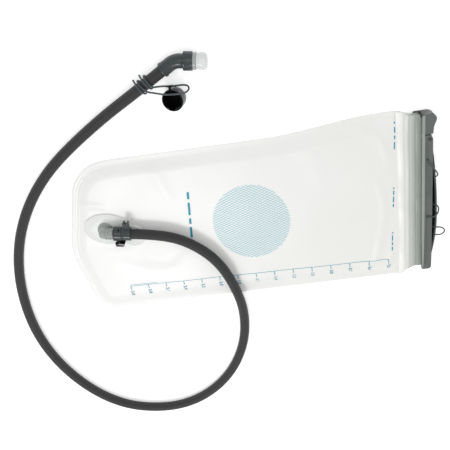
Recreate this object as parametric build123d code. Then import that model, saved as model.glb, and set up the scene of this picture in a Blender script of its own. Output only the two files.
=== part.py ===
from build123d import *
import math
import os

# A three-litre hydration bladder with a slide-off top closure, a push-button outlet,
# an insulated drinking hose and a twist-to-open bite valve. Millimetres, +Z up.
# +X runs from the rounded bottom end of the bag to the slider, +Y across the bag.
# Z = 0 is the surface that the bag lies on.

# ---- Driving dimensions -----------------------------------------------------------
# Clearances
SOFT_GAP = 0.3
RUNNING_GAP = 0.05
SEAT_GAP = 0.1

# Bag: corners of the outline as x, y and corner radius, from the upper left corner round
FILM = 0.8
WATER_GAP = 3.6
HEM_WIDTH = 5.0
SHOULDER_WIDTH = 9.0
MOUTH_X = 168.0
BOTTOM_END_CORNERS = [(-172.0, 94.5, 50.0), (-209.0, -14.0, 90.0), (-195.5, -101.5, 25.0)]
LOWER_EDGE_Y = -98.0
UPPER_EDGE_WAIST = (52.0, 92.0, 400.0)
UPPER_EDGE_SPREAD = (138.0, 102.0, 400.0)
UPPER_EDGE_Y = 101.4

# Folded top and its bead
FOLD_LOW_Y = -84.5
FOLD_HIGH_Y = 93.0
FOLD_RAMP = 2.5
FOLD_NECK_X = 177.0
FOLD_END_X = 196.2
FOLD_TOP = 10.9
FOLD_LIP = 3.4
FOLD_STEP = 2.0
FOLD_BACK_TOP = 8.0
BEAD_RADIUS = 1.6
BEAD_X = 193.6
BEAD_Z = 6.6

# Slider
SLIDER_LOW_Y = -87.5
SLIDER_HIGH_Y = 98.0
SLIDER_BACK_X = 180.0
PLATE = 2.0
SPINE = 2.2
BAR_FRONT_X = 190.7
BAR_WIDTH = 10.3
BAR_THICKNESS = 2.5
BAR_HIGH_Y = 76.0
LIP_WIDTH = 1.8
HEAD_LOW_Y = 77.0
END_WALL = 4.0
BOW_WALL = 1.8
BOW_PEAK = (206.7, -20.0)
BOW_HIGH_END = (198.6, 80.0)
BOW_LOW_END = (201.6, -68.0)
KNOB_CENTRE = (198.5, 92.0)
KNOB_RADIUS = 5.5
PIN_RADIUS = 1.0
PIN_HEAD_RADIUS = 1.9
PIN_HEAD = 0.8
PIN_CENTRE = (198.0, 71.5)
LACE_DIAMETER = 1.4
LACE_HOLE_RADIUS = 2.0
LACE_LEVEL = 6.6
LACE_HOLES_Y = (25.0, -9.0)
LOOP_HOLES_Y = (-37.0, -47.0)
KNOT_RADIUS = 1.1

# Outlet port, in a frame of its own: x along the hose, y across it, z from the hose axis
PORT_X = -145.4
PORT_Y = 11.9
PORT_TURN = -9.5
PORT_RISE = 10.4
FLANGE = 2.0
FLANGE_CENTRE = -9.0
FLANGE_HALF_LENGTH = 27.0
FLANGE_HALF_WIDTH = 19.5
FLANGE_LOBE = (20.0, -8.0)
FLANGE_LOBE_RADIUS = 13.5
NECK_CENTRE = -11.0
NECK_RADIUS = 6.2
NECK_BORE = 4.8
NECK_FOOT_RADIUS = 9.0
NECK_FOOT = 1.4
NECK_RIB_RADIUS = 6.9
NECK_RIB_WIDTH = 1.0
NECK_RIBS = (-8.5, -6.0, -3.5)
NECK_WEB_WIDTH = 3.0
SOCKET_RADIUS = 7.8
SOCKET_LENGTH = 9.3
SOCKET_RING_RADIUS = 8.1
SOCKET_RING = (0.6, 2.0)
SPIGOT_LENGTH = 6.0
SPIGOT_BORE = 3.6
SPRING_STOP = 0.8
SPRING_STOP_BORE = 2.0
SEAT = (2.4, 3.0)
SEAT_BORE = 2.6
NOSE_RADIUS = 4.2
NOSE_BORE = 3.0
NOSE_START = 3.2
SEAL_SECTION = 0.5
SEAL_PLACE = 4.8
LATCH_PLACE = 6.0
LATCH_THICKNESS = 1.2
LATCH_SLOT_GAP = 0.2
LATCH_HALF_WIDTH = 5.4
LATCH_FAR_END = 5.9
BUTTON_TRAVEL = 1.4
BUTTON_INNER = 9.8
BUTTON_OUTER = 13.6
BUTTON_RIB = 0.7
BUTTON_START = 1.5
BUTTON_END = 12.5
BUTTON_HALF_HEIGHT = 5.5
BUTTON_TAPER = 1.2
BUTTON_SPRING_PLACE = 2.7
BUTTON_SPRING_RADIUS = 1.2
BUTTON_SPRING_DEPTH = 2.4
SOCKET_SPRING_DEPTH = 1.8
SPRING_WIRE = 0.25
SPRING_TURNS = 4.0
POPPET_RADIUS = 3.1
POPPET_THICKNESS = 1.2
POPPET_FACE = -0.2
POPPET_STEM_RADIUS = 0.9
POPPET_SPRING_RADIUS = 2.1
PRONG_RADIUS = 0.9
PRONG_TIP = 0.1
GRIP_START = 9.6
GRIP_END = 19.4
GRIP_RADIUS = 7.5
GRIP_HALF_HEIGHT = 2.4
EAR_OUTLINE = [(11.0, 5.0), (11.6, 15.4), (12.8, 17.0), (14.8, 12.5), (16.8, 16.6), (18.0, 15.0), (18.4, 5.0)]

# Hose
TUBE_RADIUS = 4.6
TUBE_BORE = 3.2
COVER_RADIUS = 5.75
BARB_LENGTH = 15.0
BARB_BORE = 2.2
BARB_RIDGES = (3.0, 7.0, 11.0)
BARB_RIDGE_DEPTH = 0.35
ON_FLOOR = 5.95
HOSE_FIRST_RUN = 32.0
HOSE_LAST_RUN = 33.8

# Bite valve: where the hose ends, and the two directions of its elbow
VALVE_X = -50.2
VALVE_Y = 180.2
VALVE_Z = 9.2
ELBOW_TURN = 28.2
MOUTH_TURN = -10.0
ELBOW_LENGTH = 14.5
ELBOW_FLANGE_RADIUS = 7.6
ELBOW_FLANGE = 2.0
ELBOW_RADIUS = 7.0
ELBOW_BEND = 16.0
STUB_LENGTH = 8.6
SPIGOT_RADIUS = 5.4
SPIGOT_END = 16.4
VALVE_SEAL_PLACES = (10.6, 14.6)
VALVE_SEAL_SECTION = 0.45
COLLAR_LENGTH = 9.2
COLLAR_RADIUS = 9.0
COLLAR_GRIPS = 12
COLLAR_GRIP_RADIUS = 0.9
WINDOW_WIDTH = 5.0
WINDOW_DEPTH = 0.6
CORE_RADIUS = 3.6
CORE_LENGTH = 5.0
CORE_SLOT = 1.2
CORE_SLOT_DEPTH = 1.5
RING_LENGTH = 3.4
RING_RADIUS = 8.2
MOUTHPIECE_LENGTH = 11.0
MOUTHPIECE_RADIUS = 8.0
MOUTHPIECE_WALL = 1.6
MOUTHPIECE_ROUND = 4.0
SLIT_WIDTH = 0.5
SLIT_LENGTH = 8.0

# Dust cap and its tether
CAP_X = -44.0
CAP_Y = 150.7
CAP_RADIUS = 10.9
CAP_HEIGHT = 12.5
CAP_WALL = 1.6
CAP_ROUND = 3.0
CAP_TILT = 12.0
LUG_STEM = (2.4, 2.6, 2.6)
LUG_BAR = (6.4, 1.6, 3.0)
TETHER_DIAMETER = 1.8
WRAP_GAP = 0.45
WRAP_CORNERS = 9
WRAP_PITCH = 2.6
WRAP_STARTS = (-28.5, -20.5)
STRAND_LEVEL = 7.2

# ---- Worked-out values ------------------------------------------------------------
HEM_TOP = 2 * FILM
CROWN = FILM + WATER_GAP + FILM
PORT_AXIS_Z = CROWN + PORT_RISE
FOLD_UNDER = PLATE + SOFT_GAP
SPINE_X = FOLD_END_X + SOFT_GAP
CHANNEL_TOP = FOLD_TOP + SOFT_GAP
BAR_TOP = CHANNEL_TOP + BAR_THICKNESS
NOSE_HOLE = NOSE_RADIUS + RUNNING_GAP
FLANGE_TOP = CROWN + FLANGE - PORT_AXIS_Z
LATCH_END = LATCH_PLACE + LATCH_THICKNESS
HOSE_HOLE = TUBE_RADIUS + SEAT_GAP
COLLAR_BORE = SPIGOT_RADIUS + SEAT_GAP
BARB_RADIUS = TUBE_BORE - RUNNING_GAP
LACE_RADIUS = LACE_DIAMETER / 2
TETHER_RADIUS = TETHER_DIAMETER / 2
WRAP_RADIUS = COVER_RADIUS + TETHER_RADIUS + WRAP_GAP
STUB_END = STUB_LENGTH - SOFT_GAP
RING_START = STUB_LENGTH + COLLAR_LENGTH
MOUTHPIECE_START = RING_START + RING_LENGTH


def heading(degrees):
    """The level direction at an angle from +X."""
    return Vector(math.cos(math.radians(degrees)), math.sin(math.radians(degrees)), 0)


ELBOW_CENTRE = Vector(VALVE_X, VALVE_Y, VALVE_Z) + heading(ELBOW_TURN) * ELBOW_LENGTH
PORT = Plane(origin=(PORT_X, PORT_Y, PORT_AXIS_Z), x_dir=heading(PORT_TURN), z_dir=(0, 0, 1))
HOSE_END = Plane(origin=(VALVE_X, VALVE_Y, VALVE_Z), x_dir=heading(ELBOW_TURN), z_dir=(0, 0, 1))
MOUTH = Plane(origin=ELBOW_CENTRE, x_dir=heading(MOUTH_TURN), z_dir=(0, 0, 1))


# ---- Shared shapes ----------------------------------------------------------------
def block(x, y, z):
    """A box between two values on each axis."""
    size = [end - start for start, end in (x, y, z)]
    centre = [(end + start) / 2 for start, end in (x, y, z)]
    return Pos(*centre) * Box(*size)


def turned(radius, start, end, bore=0):
    """A rod or a tube about the X axis."""
    shape = Cylinder(radius, end - start)
    if bore:
        shape -= Cylinder(bore, end - start)
    return Pos((start + end) / 2, 0, 0) * Rot(0, 90, 0) * shape


def upright(radius, x, y, low, high):
    """A vertical rod."""
    return Pos(x, y, (low + high) / 2) * Cylinder(radius, high - low)


def seal_ring(bore, section, place):
    """A round seal about the X axis, with its inner edge at the bore."""
    return Pos(place, 0, 0) * Rot(0, 90, 0) * Torus(bore + section, section)


def coil_spring(radius, length):
    """A helical spring that stands on the origin along +Z."""
    free_length = length - 2 * SPRING_WIRE
    path = Helix(pitch=free_length / SPRING_TURNS, height=free_length, radius=radius)
    start = Plane(origin=path @ 0, z_dir=path % 0)
    return Pos(0, 0, SPRING_WIRE) * sweep(start * Circle(SPRING_WIRE), path)


def rounded_face(corners):
    """A face whose outline has a given radius at each corner."""
    points = [(x, y) for x, y, radius in corners]
    radii = [radius for x, y, radius in corners]
    return make_face(FilletPolyline(*points, radius=radii, close=True))


def barb(end_plane_x, direction):
    """A hose barb with ridges and a water way, from a face at end_plane_x."""
    far_end = end_plane_x + direction * BARB_LENGTH
    shape = turned(BARB_RADIUS - BARB_RIDGE_DEPTH, min(end_plane_x, far_end), max(end_plane_x, far_end))
    for place in BARB_RIDGES:
        base = Pos(end_plane_x + direction * place, 0, 0) * Rot(0, 90 * direction, 0)
        shape += base * Cone(BARB_RADIUS, BARB_RADIUS - BARB_RIDGE_DEPTH, 2.4)
    return shape


def corner_radii(points):
    """The largest radius that each corner's two runs allow."""
    radii = []
    for before, corner, after in zip(points, points[1:], points[2:]):
        arriving = Vector(*corner) - Vector(*before)
        leaving = Vector(*after) - Vector(*corner)
        half_turn = math.radians(arriving.get_angle(leaving)) / 2
        radii.append(0.45 * min(arriving.length, leaving.length) / math.tan(half_turn))
    return radii


def cord_tube(name, points, radius, bore=0):
    """A round cord or tube along straight runs joined by tangent arcs."""
    radii = corner_radii(points)
    path = FilletPolyline(*points, radius=radii)
    section = Circle(radius)
    if bore:
        section -= Circle(bore)
    start = Plane(origin=path @ 0, z_dir=path % 0)
    tube = sweep(start * section, path)
    expected = section.area * path.length
    print(name, "length", round(path.length, 1), "volume ratio", round(tube.volume / expected, 4))
    print(name, "radii", [round(value, 1) for value in radii])
    return tube


# ---- Bag --------------------------------------------------------------------------
def bag_outline():
    """The bag's outline, run past the mouth so that the mouth end can be cut square."""
    past_mouth = MOUTH_X + 3 * (HEM_WIDTH + SHOULDER_WIDTH)
    mouth_corners = [(past_mouth, LOWER_EDGE_Y, 0.0), (past_mouth, UPPER_EDGE_Y, 0.0)]
    upper_corners = [UPPER_EDGE_SPREAD, UPPER_EDGE_WAIST]
    return rounded_face(BOTTOM_END_CORNERS + mouth_corners + upper_corners)


def crown_shell(outline, inset, low, high):
    """The space under a sloping shoulder and a flat crown."""
    foot = offset(outline, -HEM_WIDTH - inset)
    top = offset(outline, -HEM_WIDTH - SHOULDER_WIDTH - inset)
    return loft([Pos(0, 0, low) * foot, Pos(0, 0, high) * top], ruled=True)


def make_bag():
    outline = bag_outline()
    box = outline.bounding_box()
    keep = block((box.min.X - 1, MOUTH_X), (box.min.Y - 1, box.max.Y + 1), (-1, CROWN + 1))
    back_film = extrude(outline, FILM) & keep
    hem = extrude(outline, FILM) - extrude(offset(outline, -HEM_WIDTH - FILM), FILM)
    dome = crown_shell(outline, 0, HEM_TOP, CROWN) - crown_shell(outline, FILM, HEM_TOP, CROWN - FILM)
    port_hole = PORT * Pos(NECK_CENTRE, 0, -PORT_AXIS_Z + CROWN) * Cylinder(NECK_BORE, 3 * FILM)
    front_film = ((Pos(0, 0, FILM) * hem + dome) & keep) - port_hole
    return {"back_film": back_film, "front_film": front_film}


def make_fold():
    lip_x = FOLD_END_X - FOLD_LIP
    profile = [
        (MOUTH_X, 0),
        (FOLD_NECK_X, 0),
        (FOLD_NECK_X + FOLD_RAMP, FOLD_UNDER),
        (FOLD_END_X, FOLD_UNDER),
        (FOLD_END_X, FOLD_TOP),
        (lip_x, FOLD_TOP),
        (lip_x, FOLD_TOP - FOLD_STEP),
        (SLIDER_BACK_X - 1, FOLD_BACK_TOP),
        (MOUTH_X, CROWN),
    ]
    face = Plane.XZ * make_face(Polyline(*profile, close=True))
    length = FOLD_HIGH_Y - FOLD_LOW_Y
    folded = Pos(0, FOLD_LOW_Y, 0) * extrude(face, length, dir=(0, 1, 0))
    bead_place = Pos(BEAD_X, (FOLD_LOW_Y + FOLD_HIGH_Y) / 2, BEAD_Z) * Rot(90, 0, 0)
    folded -= bead_place * Cylinder(BEAD_RADIUS + SEAT_GAP, length)
    return {"folded_top": folded, "closure_bead": bead_place * Cylinder(BEAD_RADIUS, length)}


# ---- Slider -----------------------------------------------------------------------
def slider_outline():
    """The slider seen from the front, with its bowed edge and the knob at its high end."""
    bow_high = TangentArc(BOW_PEAK, BOW_HIGH_END, tangent=(0, 1))
    bow_low = TangentArc(BOW_PEAK, BOW_LOW_END, tangent=(0, -1))
    rest = Polyline(
        BOW_HIGH_END,
        (KNOB_CENTRE[0], SLIDER_HIGH_Y),
        (SLIDER_BACK_X + 5, SLIDER_HIGH_Y),
        (SLIDER_BACK_X, SLIDER_HIGH_Y - 8),
        (SLIDER_BACK_X, SLIDER_LOW_Y),
        (BOW_LOW_END[0], SLIDER_LOW_Y),
        BOW_LOW_END,
    )
    return make_face([bow_high, bow_low, rest])


def lace_hole(y):
    return Pos(BOW_PEAK[0], y, LACE_LEVEL) * Rot(0, 90, 0) * Cylinder(LACE_HOLE_RADIUS, 14)


def make_slider():
    outline = slider_outline()
    spine_back = SPINE_X + SPINE
    behind_spine = block((spine_back, spine_back + 20), (SLIDER_LOW_Y, SLIDER_HIGH_Y), (PLATE, CHANNEL_TOP))
    solid_part = Pos(0, 0, PLATE) * extrude(outline, CHANNEL_TOP - PLATE)
    hollow_part = Pos(0, 0, PLATE) * extrude(offset(outline, -BOW_WALL), CHANNEL_TOP - PLATE)
    frame = extrude(outline, PLATE) + ((solid_part - hollow_part) & behind_spine)
    frame += block((SPINE_X, spine_back), (SLIDER_LOW_Y, SLIDER_HIGH_Y), (PLATE, CHANNEL_TOP))
    frame += upright(KNOB_RADIUS, *KNOB_CENTRE, 0, BAR_TOP)
    pin_boss_y = (PIN_CENTRE[1] - 2.6, PIN_CENTRE[1] + 2.6)
    frame += block((SPINE_X, spine_back + 1.8), pin_boss_y, (PLATE, CHANNEL_TOP))
    bar_back = BAR_FRONT_X + BAR_WIDTH
    head_y = (HEAD_LOW_Y, SLIDER_HIGH_Y)
    frame += block((BAR_FRONT_X, bar_back), head_y, (CHANNEL_TOP, BAR_TOP))
    lip_x = (BAR_FRONT_X, BAR_FRONT_X + LIP_WIDTH)
    lip_z = (FOLD_TOP - FOLD_STEP + SOFT_GAP, CHANNEL_TOP)
    frame += block(lip_x, head_y, lip_z)
    frame += block((BAR_FRONT_X, SPINE_X), (SLIDER_HIGH_Y - END_WALL, SLIDER_HIGH_Y), (PLATE, CHANNEL_TOP))
    channel_y = (SLIDER_LOW_Y - 1, SLIDER_HIGH_Y - END_WALL)
    frame -= block((lip_x[1], SPINE_X), channel_y, (PLATE, CHANNEL_TOP))
    frame -= upright(PIN_RADIUS + RUNNING_GAP, *PIN_CENTRE, LACE_LEVEL, BAR_TOP)
    for y in LACE_HOLES_Y + LOOP_HOLES_Y:
        frame -= lace_hole(y) & behind_spine
    round_end = BAR_HIGH_Y - BAR_WIDTH / 2
    bar_middle = BAR_FRONT_X + BAR_WIDTH / 2
    bar = block((BAR_FRONT_X, bar_back), (SLIDER_LOW_Y, round_end), (CHANNEL_TOP, BAR_TOP))
    bar += upright(BAR_WIDTH / 2, bar_middle, round_end, CHANNEL_TOP, BAR_TOP)
    bar += block(lip_x, (SLIDER_LOW_Y, round_end), lip_z)
    bar -= upright(PIN_RADIUS + RUNNING_GAP, *PIN_CENTRE, CHANNEL_TOP - 1, BAR_TOP + 1)
    pin = upright(PIN_RADIUS, *PIN_CENTRE, LACE_LEVEL, BAR_TOP)
    pin += upright(PIN_HEAD_RADIUS, *PIN_CENTRE, BAR_TOP, BAR_TOP + PIN_HEAD)
    return {"slider_frame": frame, "slider_bar": bar, "bar_pin": pin}


def make_laces():
    """The lace that joins bar and bow, and the loop that hangs outside the bow."""
    on_bar = BAR_TOP + LACE_RADIUS + SOFT_GAP
    over_bow = CHANNEL_TOP + LACE_RADIUS + 2 * SOFT_GAP
    high_hole, low_hole = LACE_HOLES_Y
    lace_route = [
        (195.6, 49.6, on_bar),
        (199.2, 43.6, on_bar),
        (202.6, 38.0, on_bar - 0.6),
        (205.8, 32.6, over_bow),
        (207.6, 29.0, 9.4),
        (207.4, high_hole + 0.6, LACE_LEVEL + 0.2),
        (202.7, high_hole - 0.2, LACE_LEVEL - 0.1),
        (200.9, 18.0, LACE_LEVEL),
        (202.2, 7.0, LACE_LEVEL),
        (201.8, -3.6, LACE_LEVEL - 0.1),
        (203.9, low_hole + 0.3, LACE_LEVEL),
        (208.6, low_hole - 0.6, LACE_LEVEL + 0.4),
        (209.2, -13.4, 10.0),
        (206.6, -16.8, over_bow + 0.4),
        (202.0, -19.4, on_bar),
        (196.2, -17.6, on_bar + 0.1),
    ]
    loop_top, loop_bottom = LOOP_HOLES_Y
    loop_route = [
        (201.6, -29.0, LACE_LEVEL),
        (201.8, -33.0, LACE_LEVEL - 0.1),
        (203.4, loop_top + 0.2, LACE_LEVEL),
        (207.6, loop_top, LACE_LEVEL + 0.1),
        (212.8, -38.0, LACE_LEVEL),
        (216.8, -41.2, LACE_LEVEL + 0.2),
        (216.0, -45.6, LACE_LEVEL),
        (212.0, -47.8, LACE_LEVEL + 0.1),
        (207.4, loop_bottom, LACE_LEVEL),
        (203.2, loop_bottom - 0.4, LACE_LEVEL - 0.1),
        (200.9, -52.0, LACE_LEVEL),
    ]
    lace = cord_tube("slider_lace", lace_route, LACE_RADIUS)
    for point in (lace_route[0], lace_route[-1]):
        knot = Pos(point[0], point[1], BAR_TOP + KNOT_RADIUS) * Sphere(KNOT_RADIUS)
        lace += knot
    loop = cord_tube("hang_loop", loop_route, LACE_RADIUS)
    for point in (loop_route[0], loop_route[-1]):
        loop += Pos(*point) * Sphere(KNOT_RADIUS)
    return {"slider_lace": lace, "hang_loop": loop}


# ---- Outlet port ------------------------------------------------------------------
def make_port():
    sketch = Pos(FLANGE_CENTRE, 0) * Ellipse(FLANGE_HALF_LENGTH, FLANGE_HALF_WIDTH)
    sketch += Pos(*FLANGE_LOBE) * Circle(FLANGE_LOBE_RADIUS)
    flange = Pos(0, 0, FLANGE_TOP - FLANGE) * extrude(sketch, FLANGE)
    flange -= upright(NECK_BORE, NECK_CENTRE, 0, FLANGE_TOP - FLANGE - 1, FLANGE_TOP + 1)

    neck = upright(NECK_FOOT_RADIUS, NECK_CENTRE, 0, FLANGE_TOP, FLANGE_TOP + NECK_FOOT)
    neck += upright(NECK_RADIUS, NECK_CENTRE, 0, FLANGE_TOP, 0)
    neck += Pos(NECK_CENTRE, 0, 0) * Sphere(NECK_RADIUS)
    neck += turned(NECK_RADIUS, NECK_CENTRE, 0)
    web_y = (-NECK_WEB_WIDTH / 2, NECK_WEB_WIDTH / 2)
    neck += block((NECK_CENTRE, 0), web_y, (FLANGE_TOP, -NECK_BORE - 1))
    for place in NECK_RIBS:
        neck += turned(NECK_RIB_RADIUS, place - NECK_RIB_WIDTH / 2, place + NECK_RIB_WIDTH / 2)
    neck -= upright(NECK_BORE, NECK_CENTRE, 0, FLANGE_TOP, 0)
    neck -= Pos(NECK_CENTRE, 0, 0) * Sphere(NECK_BORE)
    neck -= turned(NECK_BORE, NECK_CENTRE, 0)
    return {"port_flange": PORT * flange, "port_neck": PORT * neck}


def make_socket():
    socket = turned(SOCKET_RADIUS, 0, SOCKET_LENGTH) + turned(SOCKET_RING_RADIUS, *SOCKET_RING)
    socket += turned(NECK_BORE - SEAT_GAP, -SPIGOT_LENGTH, 0)
    socket -= turned(SPRING_STOP_BORE, -SPIGOT_LENGTH, 0)
    socket -= turned(SPIGOT_BORE, SPRING_STOP - SPIGOT_LENGTH, SEAT[0])
    socket -= turned(SEAT_BORE, *SEAT)
    socket -= turned(NOSE_HOLE, SEAT[1], SOCKET_LENGTH)
    groove = SEAL_SECTION + RUNNING_GAP
    groove_radius = NOSE_HOLE + 2 * groove
    socket -= turned(groove_radius, SEAL_PLACE - groove, SEAL_PLACE + groove)
    slot_u = (LATCH_PLACE - LATCH_SLOT_GAP, LATCH_END + LATCH_SLOT_GAP)
    slot_v = (-SOCKET_RADIUS - 1, LATCH_FAR_END + BUTTON_TRAVEL + SOFT_GAP)
    slot_half_height = LATCH_HALF_WIDTH + SOFT_GAP
    socket -= block(slot_u, slot_v, (-slot_half_height, slot_half_height))
    pocket_radius = BUTTON_SPRING_RADIUS + SPRING_WIRE + SEAT_GAP
    pocket_end = SOCKET_SPRING_DEPTH - SOCKET_RADIUS
    pocket = Pos(BUTTON_SPRING_PLACE, pocket_end, 0) * Rot(90, 0, 0) * Cylinder(
        pocket_radius, 10, align=(Align.CENTER, Align.CENTER, Align.MIN))
    socket -= pocket
    seal = seal_ring(NOSE_HOLE, SEAL_SECTION, SEAL_PLACE)
    return {"socket_body": PORT * socket, "socket_seal": PORT * seal}


def make_button():
    latch_y = (-BUTTON_INNER, LATCH_FAR_END)
    plate = block((LATCH_PLACE, LATCH_END), latch_y, (-LATCH_HALF_WIDTH, LATCH_HALF_WIDTH))
    hole = LATCH_HALF_WIDTH - 0.9
    middle = (LATCH_PLACE + LATCH_END) / 2
    for place in (0, -BUTTON_TRAVEL):
        plate -= Pos(middle, place, 0) * Rot(0, 90, 0) * Cylinder(hole, 2 * LATCH_THICKNESS)
    plate -= block((LATCH_PLACE - 1, LATCH_END + 1), (-BUTTON_TRAVEL, 0), (-hole, hole))
    outline = [
        (BUTTON_START, -BUTTON_INNER),
        (BUTTON_END, -BUTTON_INNER),
        (BUTTON_END - BUTTON_TAPER, -BUTTON_OUTER),
        (BUTTON_START + BUTTON_TAPER, -BUTTON_OUTER),
    ]
    button = extrude(make_face(Polyline(*outline, close=True)), BUTTON_HALF_HEIGHT, both=True)
    rib_count = 4
    spacing = (BUTTON_END - BUTTON_START - 2 * BUTTON_TAPER) / rib_count
    for index in range(rib_count):
        start = BUTTON_START + BUTTON_TAPER + (index + 0.25) * spacing
        rib_y = (-BUTTON_OUTER - BUTTON_RIB, -BUTTON_OUTER)
        half_height = BUTTON_HALF_HEIGHT - BUTTON_TAPER
        button += block((start, start + spacing / 2), rib_y, (-half_height, half_height))
    pocket_radius = BUTTON_SPRING_RADIUS + SPRING_WIRE + SEAT_GAP
    button -= Pos(BUTTON_SPRING_PLACE, -BUTTON_INNER, 0) * Rot(90, 0, 0) * Cylinder(
        pocket_radius, BUTTON_SPRING_DEPTH, align=(Align.CENTER, Align.CENTER, Align.MIN))
    spring_start = SOCKET_SPRING_DEPTH - SOCKET_RADIUS
    spring_end = -BUTTON_INNER - BUTTON_SPRING_DEPTH
    spring = coil_spring(BUTTON_SPRING_RADIUS, spring_start - spring_end)
    spring = Pos(BUTTON_SPRING_PLACE, spring_start, 0) * Rot(90, 0, 0) * spring
    return {"release_button": PORT * (plate + button), "button_spring": PORT * spring}


def make_poppet():
    back = POPPET_FACE - POPPET_THICKNESS
    spring_seat = SPRING_STOP - SPIGOT_LENGTH
    poppet = turned(POPPET_RADIUS, back, POPPET_FACE)
    poppet += turned(POPPET_STEM_RADIUS, spring_seat - SPRING_STOP, back)
    spring = Pos(spring_seat, 0, 0) * Rot(0, 90, 0) * coil_spring(POPPET_SPRING_RADIUS, back - spring_seat)
    return {"shutoff_poppet": PORT * poppet, "poppet_spring": PORT * spring}


def make_plug():
    plug = turned(NOSE_RADIUS, NOSE_START, GRIP_START) + turned(GRIP_RADIUS, GRIP_START, GRIP_END)
    plug = plug + extrude(make_face(Polyline(*EAR_OUTLINE, close=True)), GRIP_HALF_HEIGHT, both=True)
    plug += barb(GRIP_END, 1)
    plug -= turned(NOSE_BORE, NOSE_START, GRIP_START)
    plug -= turned(BARB_BORE, GRIP_START, GRIP_END + BARB_LENGTH)
    web_half = 0.5
    web_end = NOSE_START + 1.2
    plug += turned(PRONG_RADIUS, PRONG_TIP, web_end)
    plug += block((NOSE_START, web_end), (-NOSE_BORE - 0.2, NOSE_BORE + 0.2), (-web_half, web_half))
    plug += block((NOSE_START, web_end), (-web_half, web_half), (-NOSE_BORE - 0.2, NOSE_BORE + 0.2))
    return {"plug_body": PORT * plug}


# ---- Hose -------------------------------------------------------------------------
def hose_route():
    """The hose's line: out of the plug, round below the bag's bottom end, up to the valve."""
    hose_start = PORT.from_local_coords((GRIP_END, 0, 0))
    after_start = PORT.from_local_coords((GRIP_END + HOSE_FIRST_RUN, 0, 0))
    before_end = HOSE_END.from_local_coords((-HOSE_LAST_RUN, 0, 0))
    middle = [
        (-64, -11, 15.5),
        (-37, -40, 15.4),
        (-23, -80, 15.0),
        (-19, -129, ON_FLOOR),
        (-28, -180, ON_FLOOR),
        (-53, -228, ON_FLOOR),
        (-91, -264, ON_FLOOR),
        (-135, -282, ON_FLOOR),
        (-182, -280, ON_FLOOR),
        (-220, -264, ON_FLOOR),
        (-251, -233, ON_FLOOR),
        (-274, -193, ON_FLOOR),
        (-287, -151, ON_FLOOR),
        (-291, -107, ON_FLOOR),
        (-286, -59, ON_FLOOR),
        (-274, -15, ON_FLOOR),
        (-256, 24, ON_FLOOR),
        (-232, 59, ON_FLOOR),
        (-202, 90, ON_FLOOR),
        (-168, 115, ON_FLOOR),
        (-121, 143, ON_FLOOR),
    ]
    ends = [tuple(hose_start), tuple(after_start)], [tuple(before_end), tuple(HOSE_END.origin)]
    return ends[0] + middle + ends[1]


def make_hose():
    route = hose_route()
    return {
        "drink_tube": cord_tube("drink_tube", route, TUBE_RADIUS, TUBE_BORE),
        "hose_cover": cord_tube("hose_cover", route, COVER_RADIUS, HOSE_HOLE),
    }


# ---- Bite valve -------------------------------------------------------------------
def elbow_path(start, end):
    """The elbow's middle line, from a distance before its corner to one after it."""
    first = HOSE_END.from_local_coords((start, 0, 0))
    last = MOUTH.from_local_coords((end, 0, 0))
    return FilletPolyline(first, ELBOW_CENTRE, last, radius=ELBOW_BEND)


def make_elbow():
    path = elbow_path(0, STUB_END)
    elbow = sweep(Plane(origin=path @ 0, z_dir=path % 0) * Circle(ELBOW_RADIUS), path)
    elbow += HOSE_END * turned(ELBOW_FLANGE_RADIUS, 0, ELBOW_FLANGE)
    elbow += HOSE_END * barb(0, -1)
    elbow += MOUTH * turned(SPIGOT_RADIUS, STUB_END, SPIGOT_END)
    groove = VALVE_SEAL_SECTION + RUNNING_GAP
    groove_bottom = SPIGOT_RADIUS - 2 * groove + SEAT_GAP
    for place in VALVE_SEAL_PLACES:
        elbow -= MOUTH * turned(SPIGOT_RADIUS + 1, place - groove, place + groove, groove_bottom)
    water_way = elbow_path(-BARB_LENGTH, STUB_LENGTH)
    elbow -= sweep(Plane(origin=water_way @ 0, z_dir=water_way % 0) * Circle(BARB_BORE), water_way)
    elbow -= MOUTH * turned(CORE_RADIUS + RUNNING_GAP, STUB_LENGTH, SPIGOT_END)
    seals = Compound([
        MOUTH * seal_ring(SPIGOT_RADIUS + RUNNING_GAP - 2 * VALVE_SEAL_SECTION, VALVE_SEAL_SECTION, place)
        for place in VALVE_SEAL_PLACES
    ])
    return {"elbow_body": elbow, "valve_seals": seals}


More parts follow.
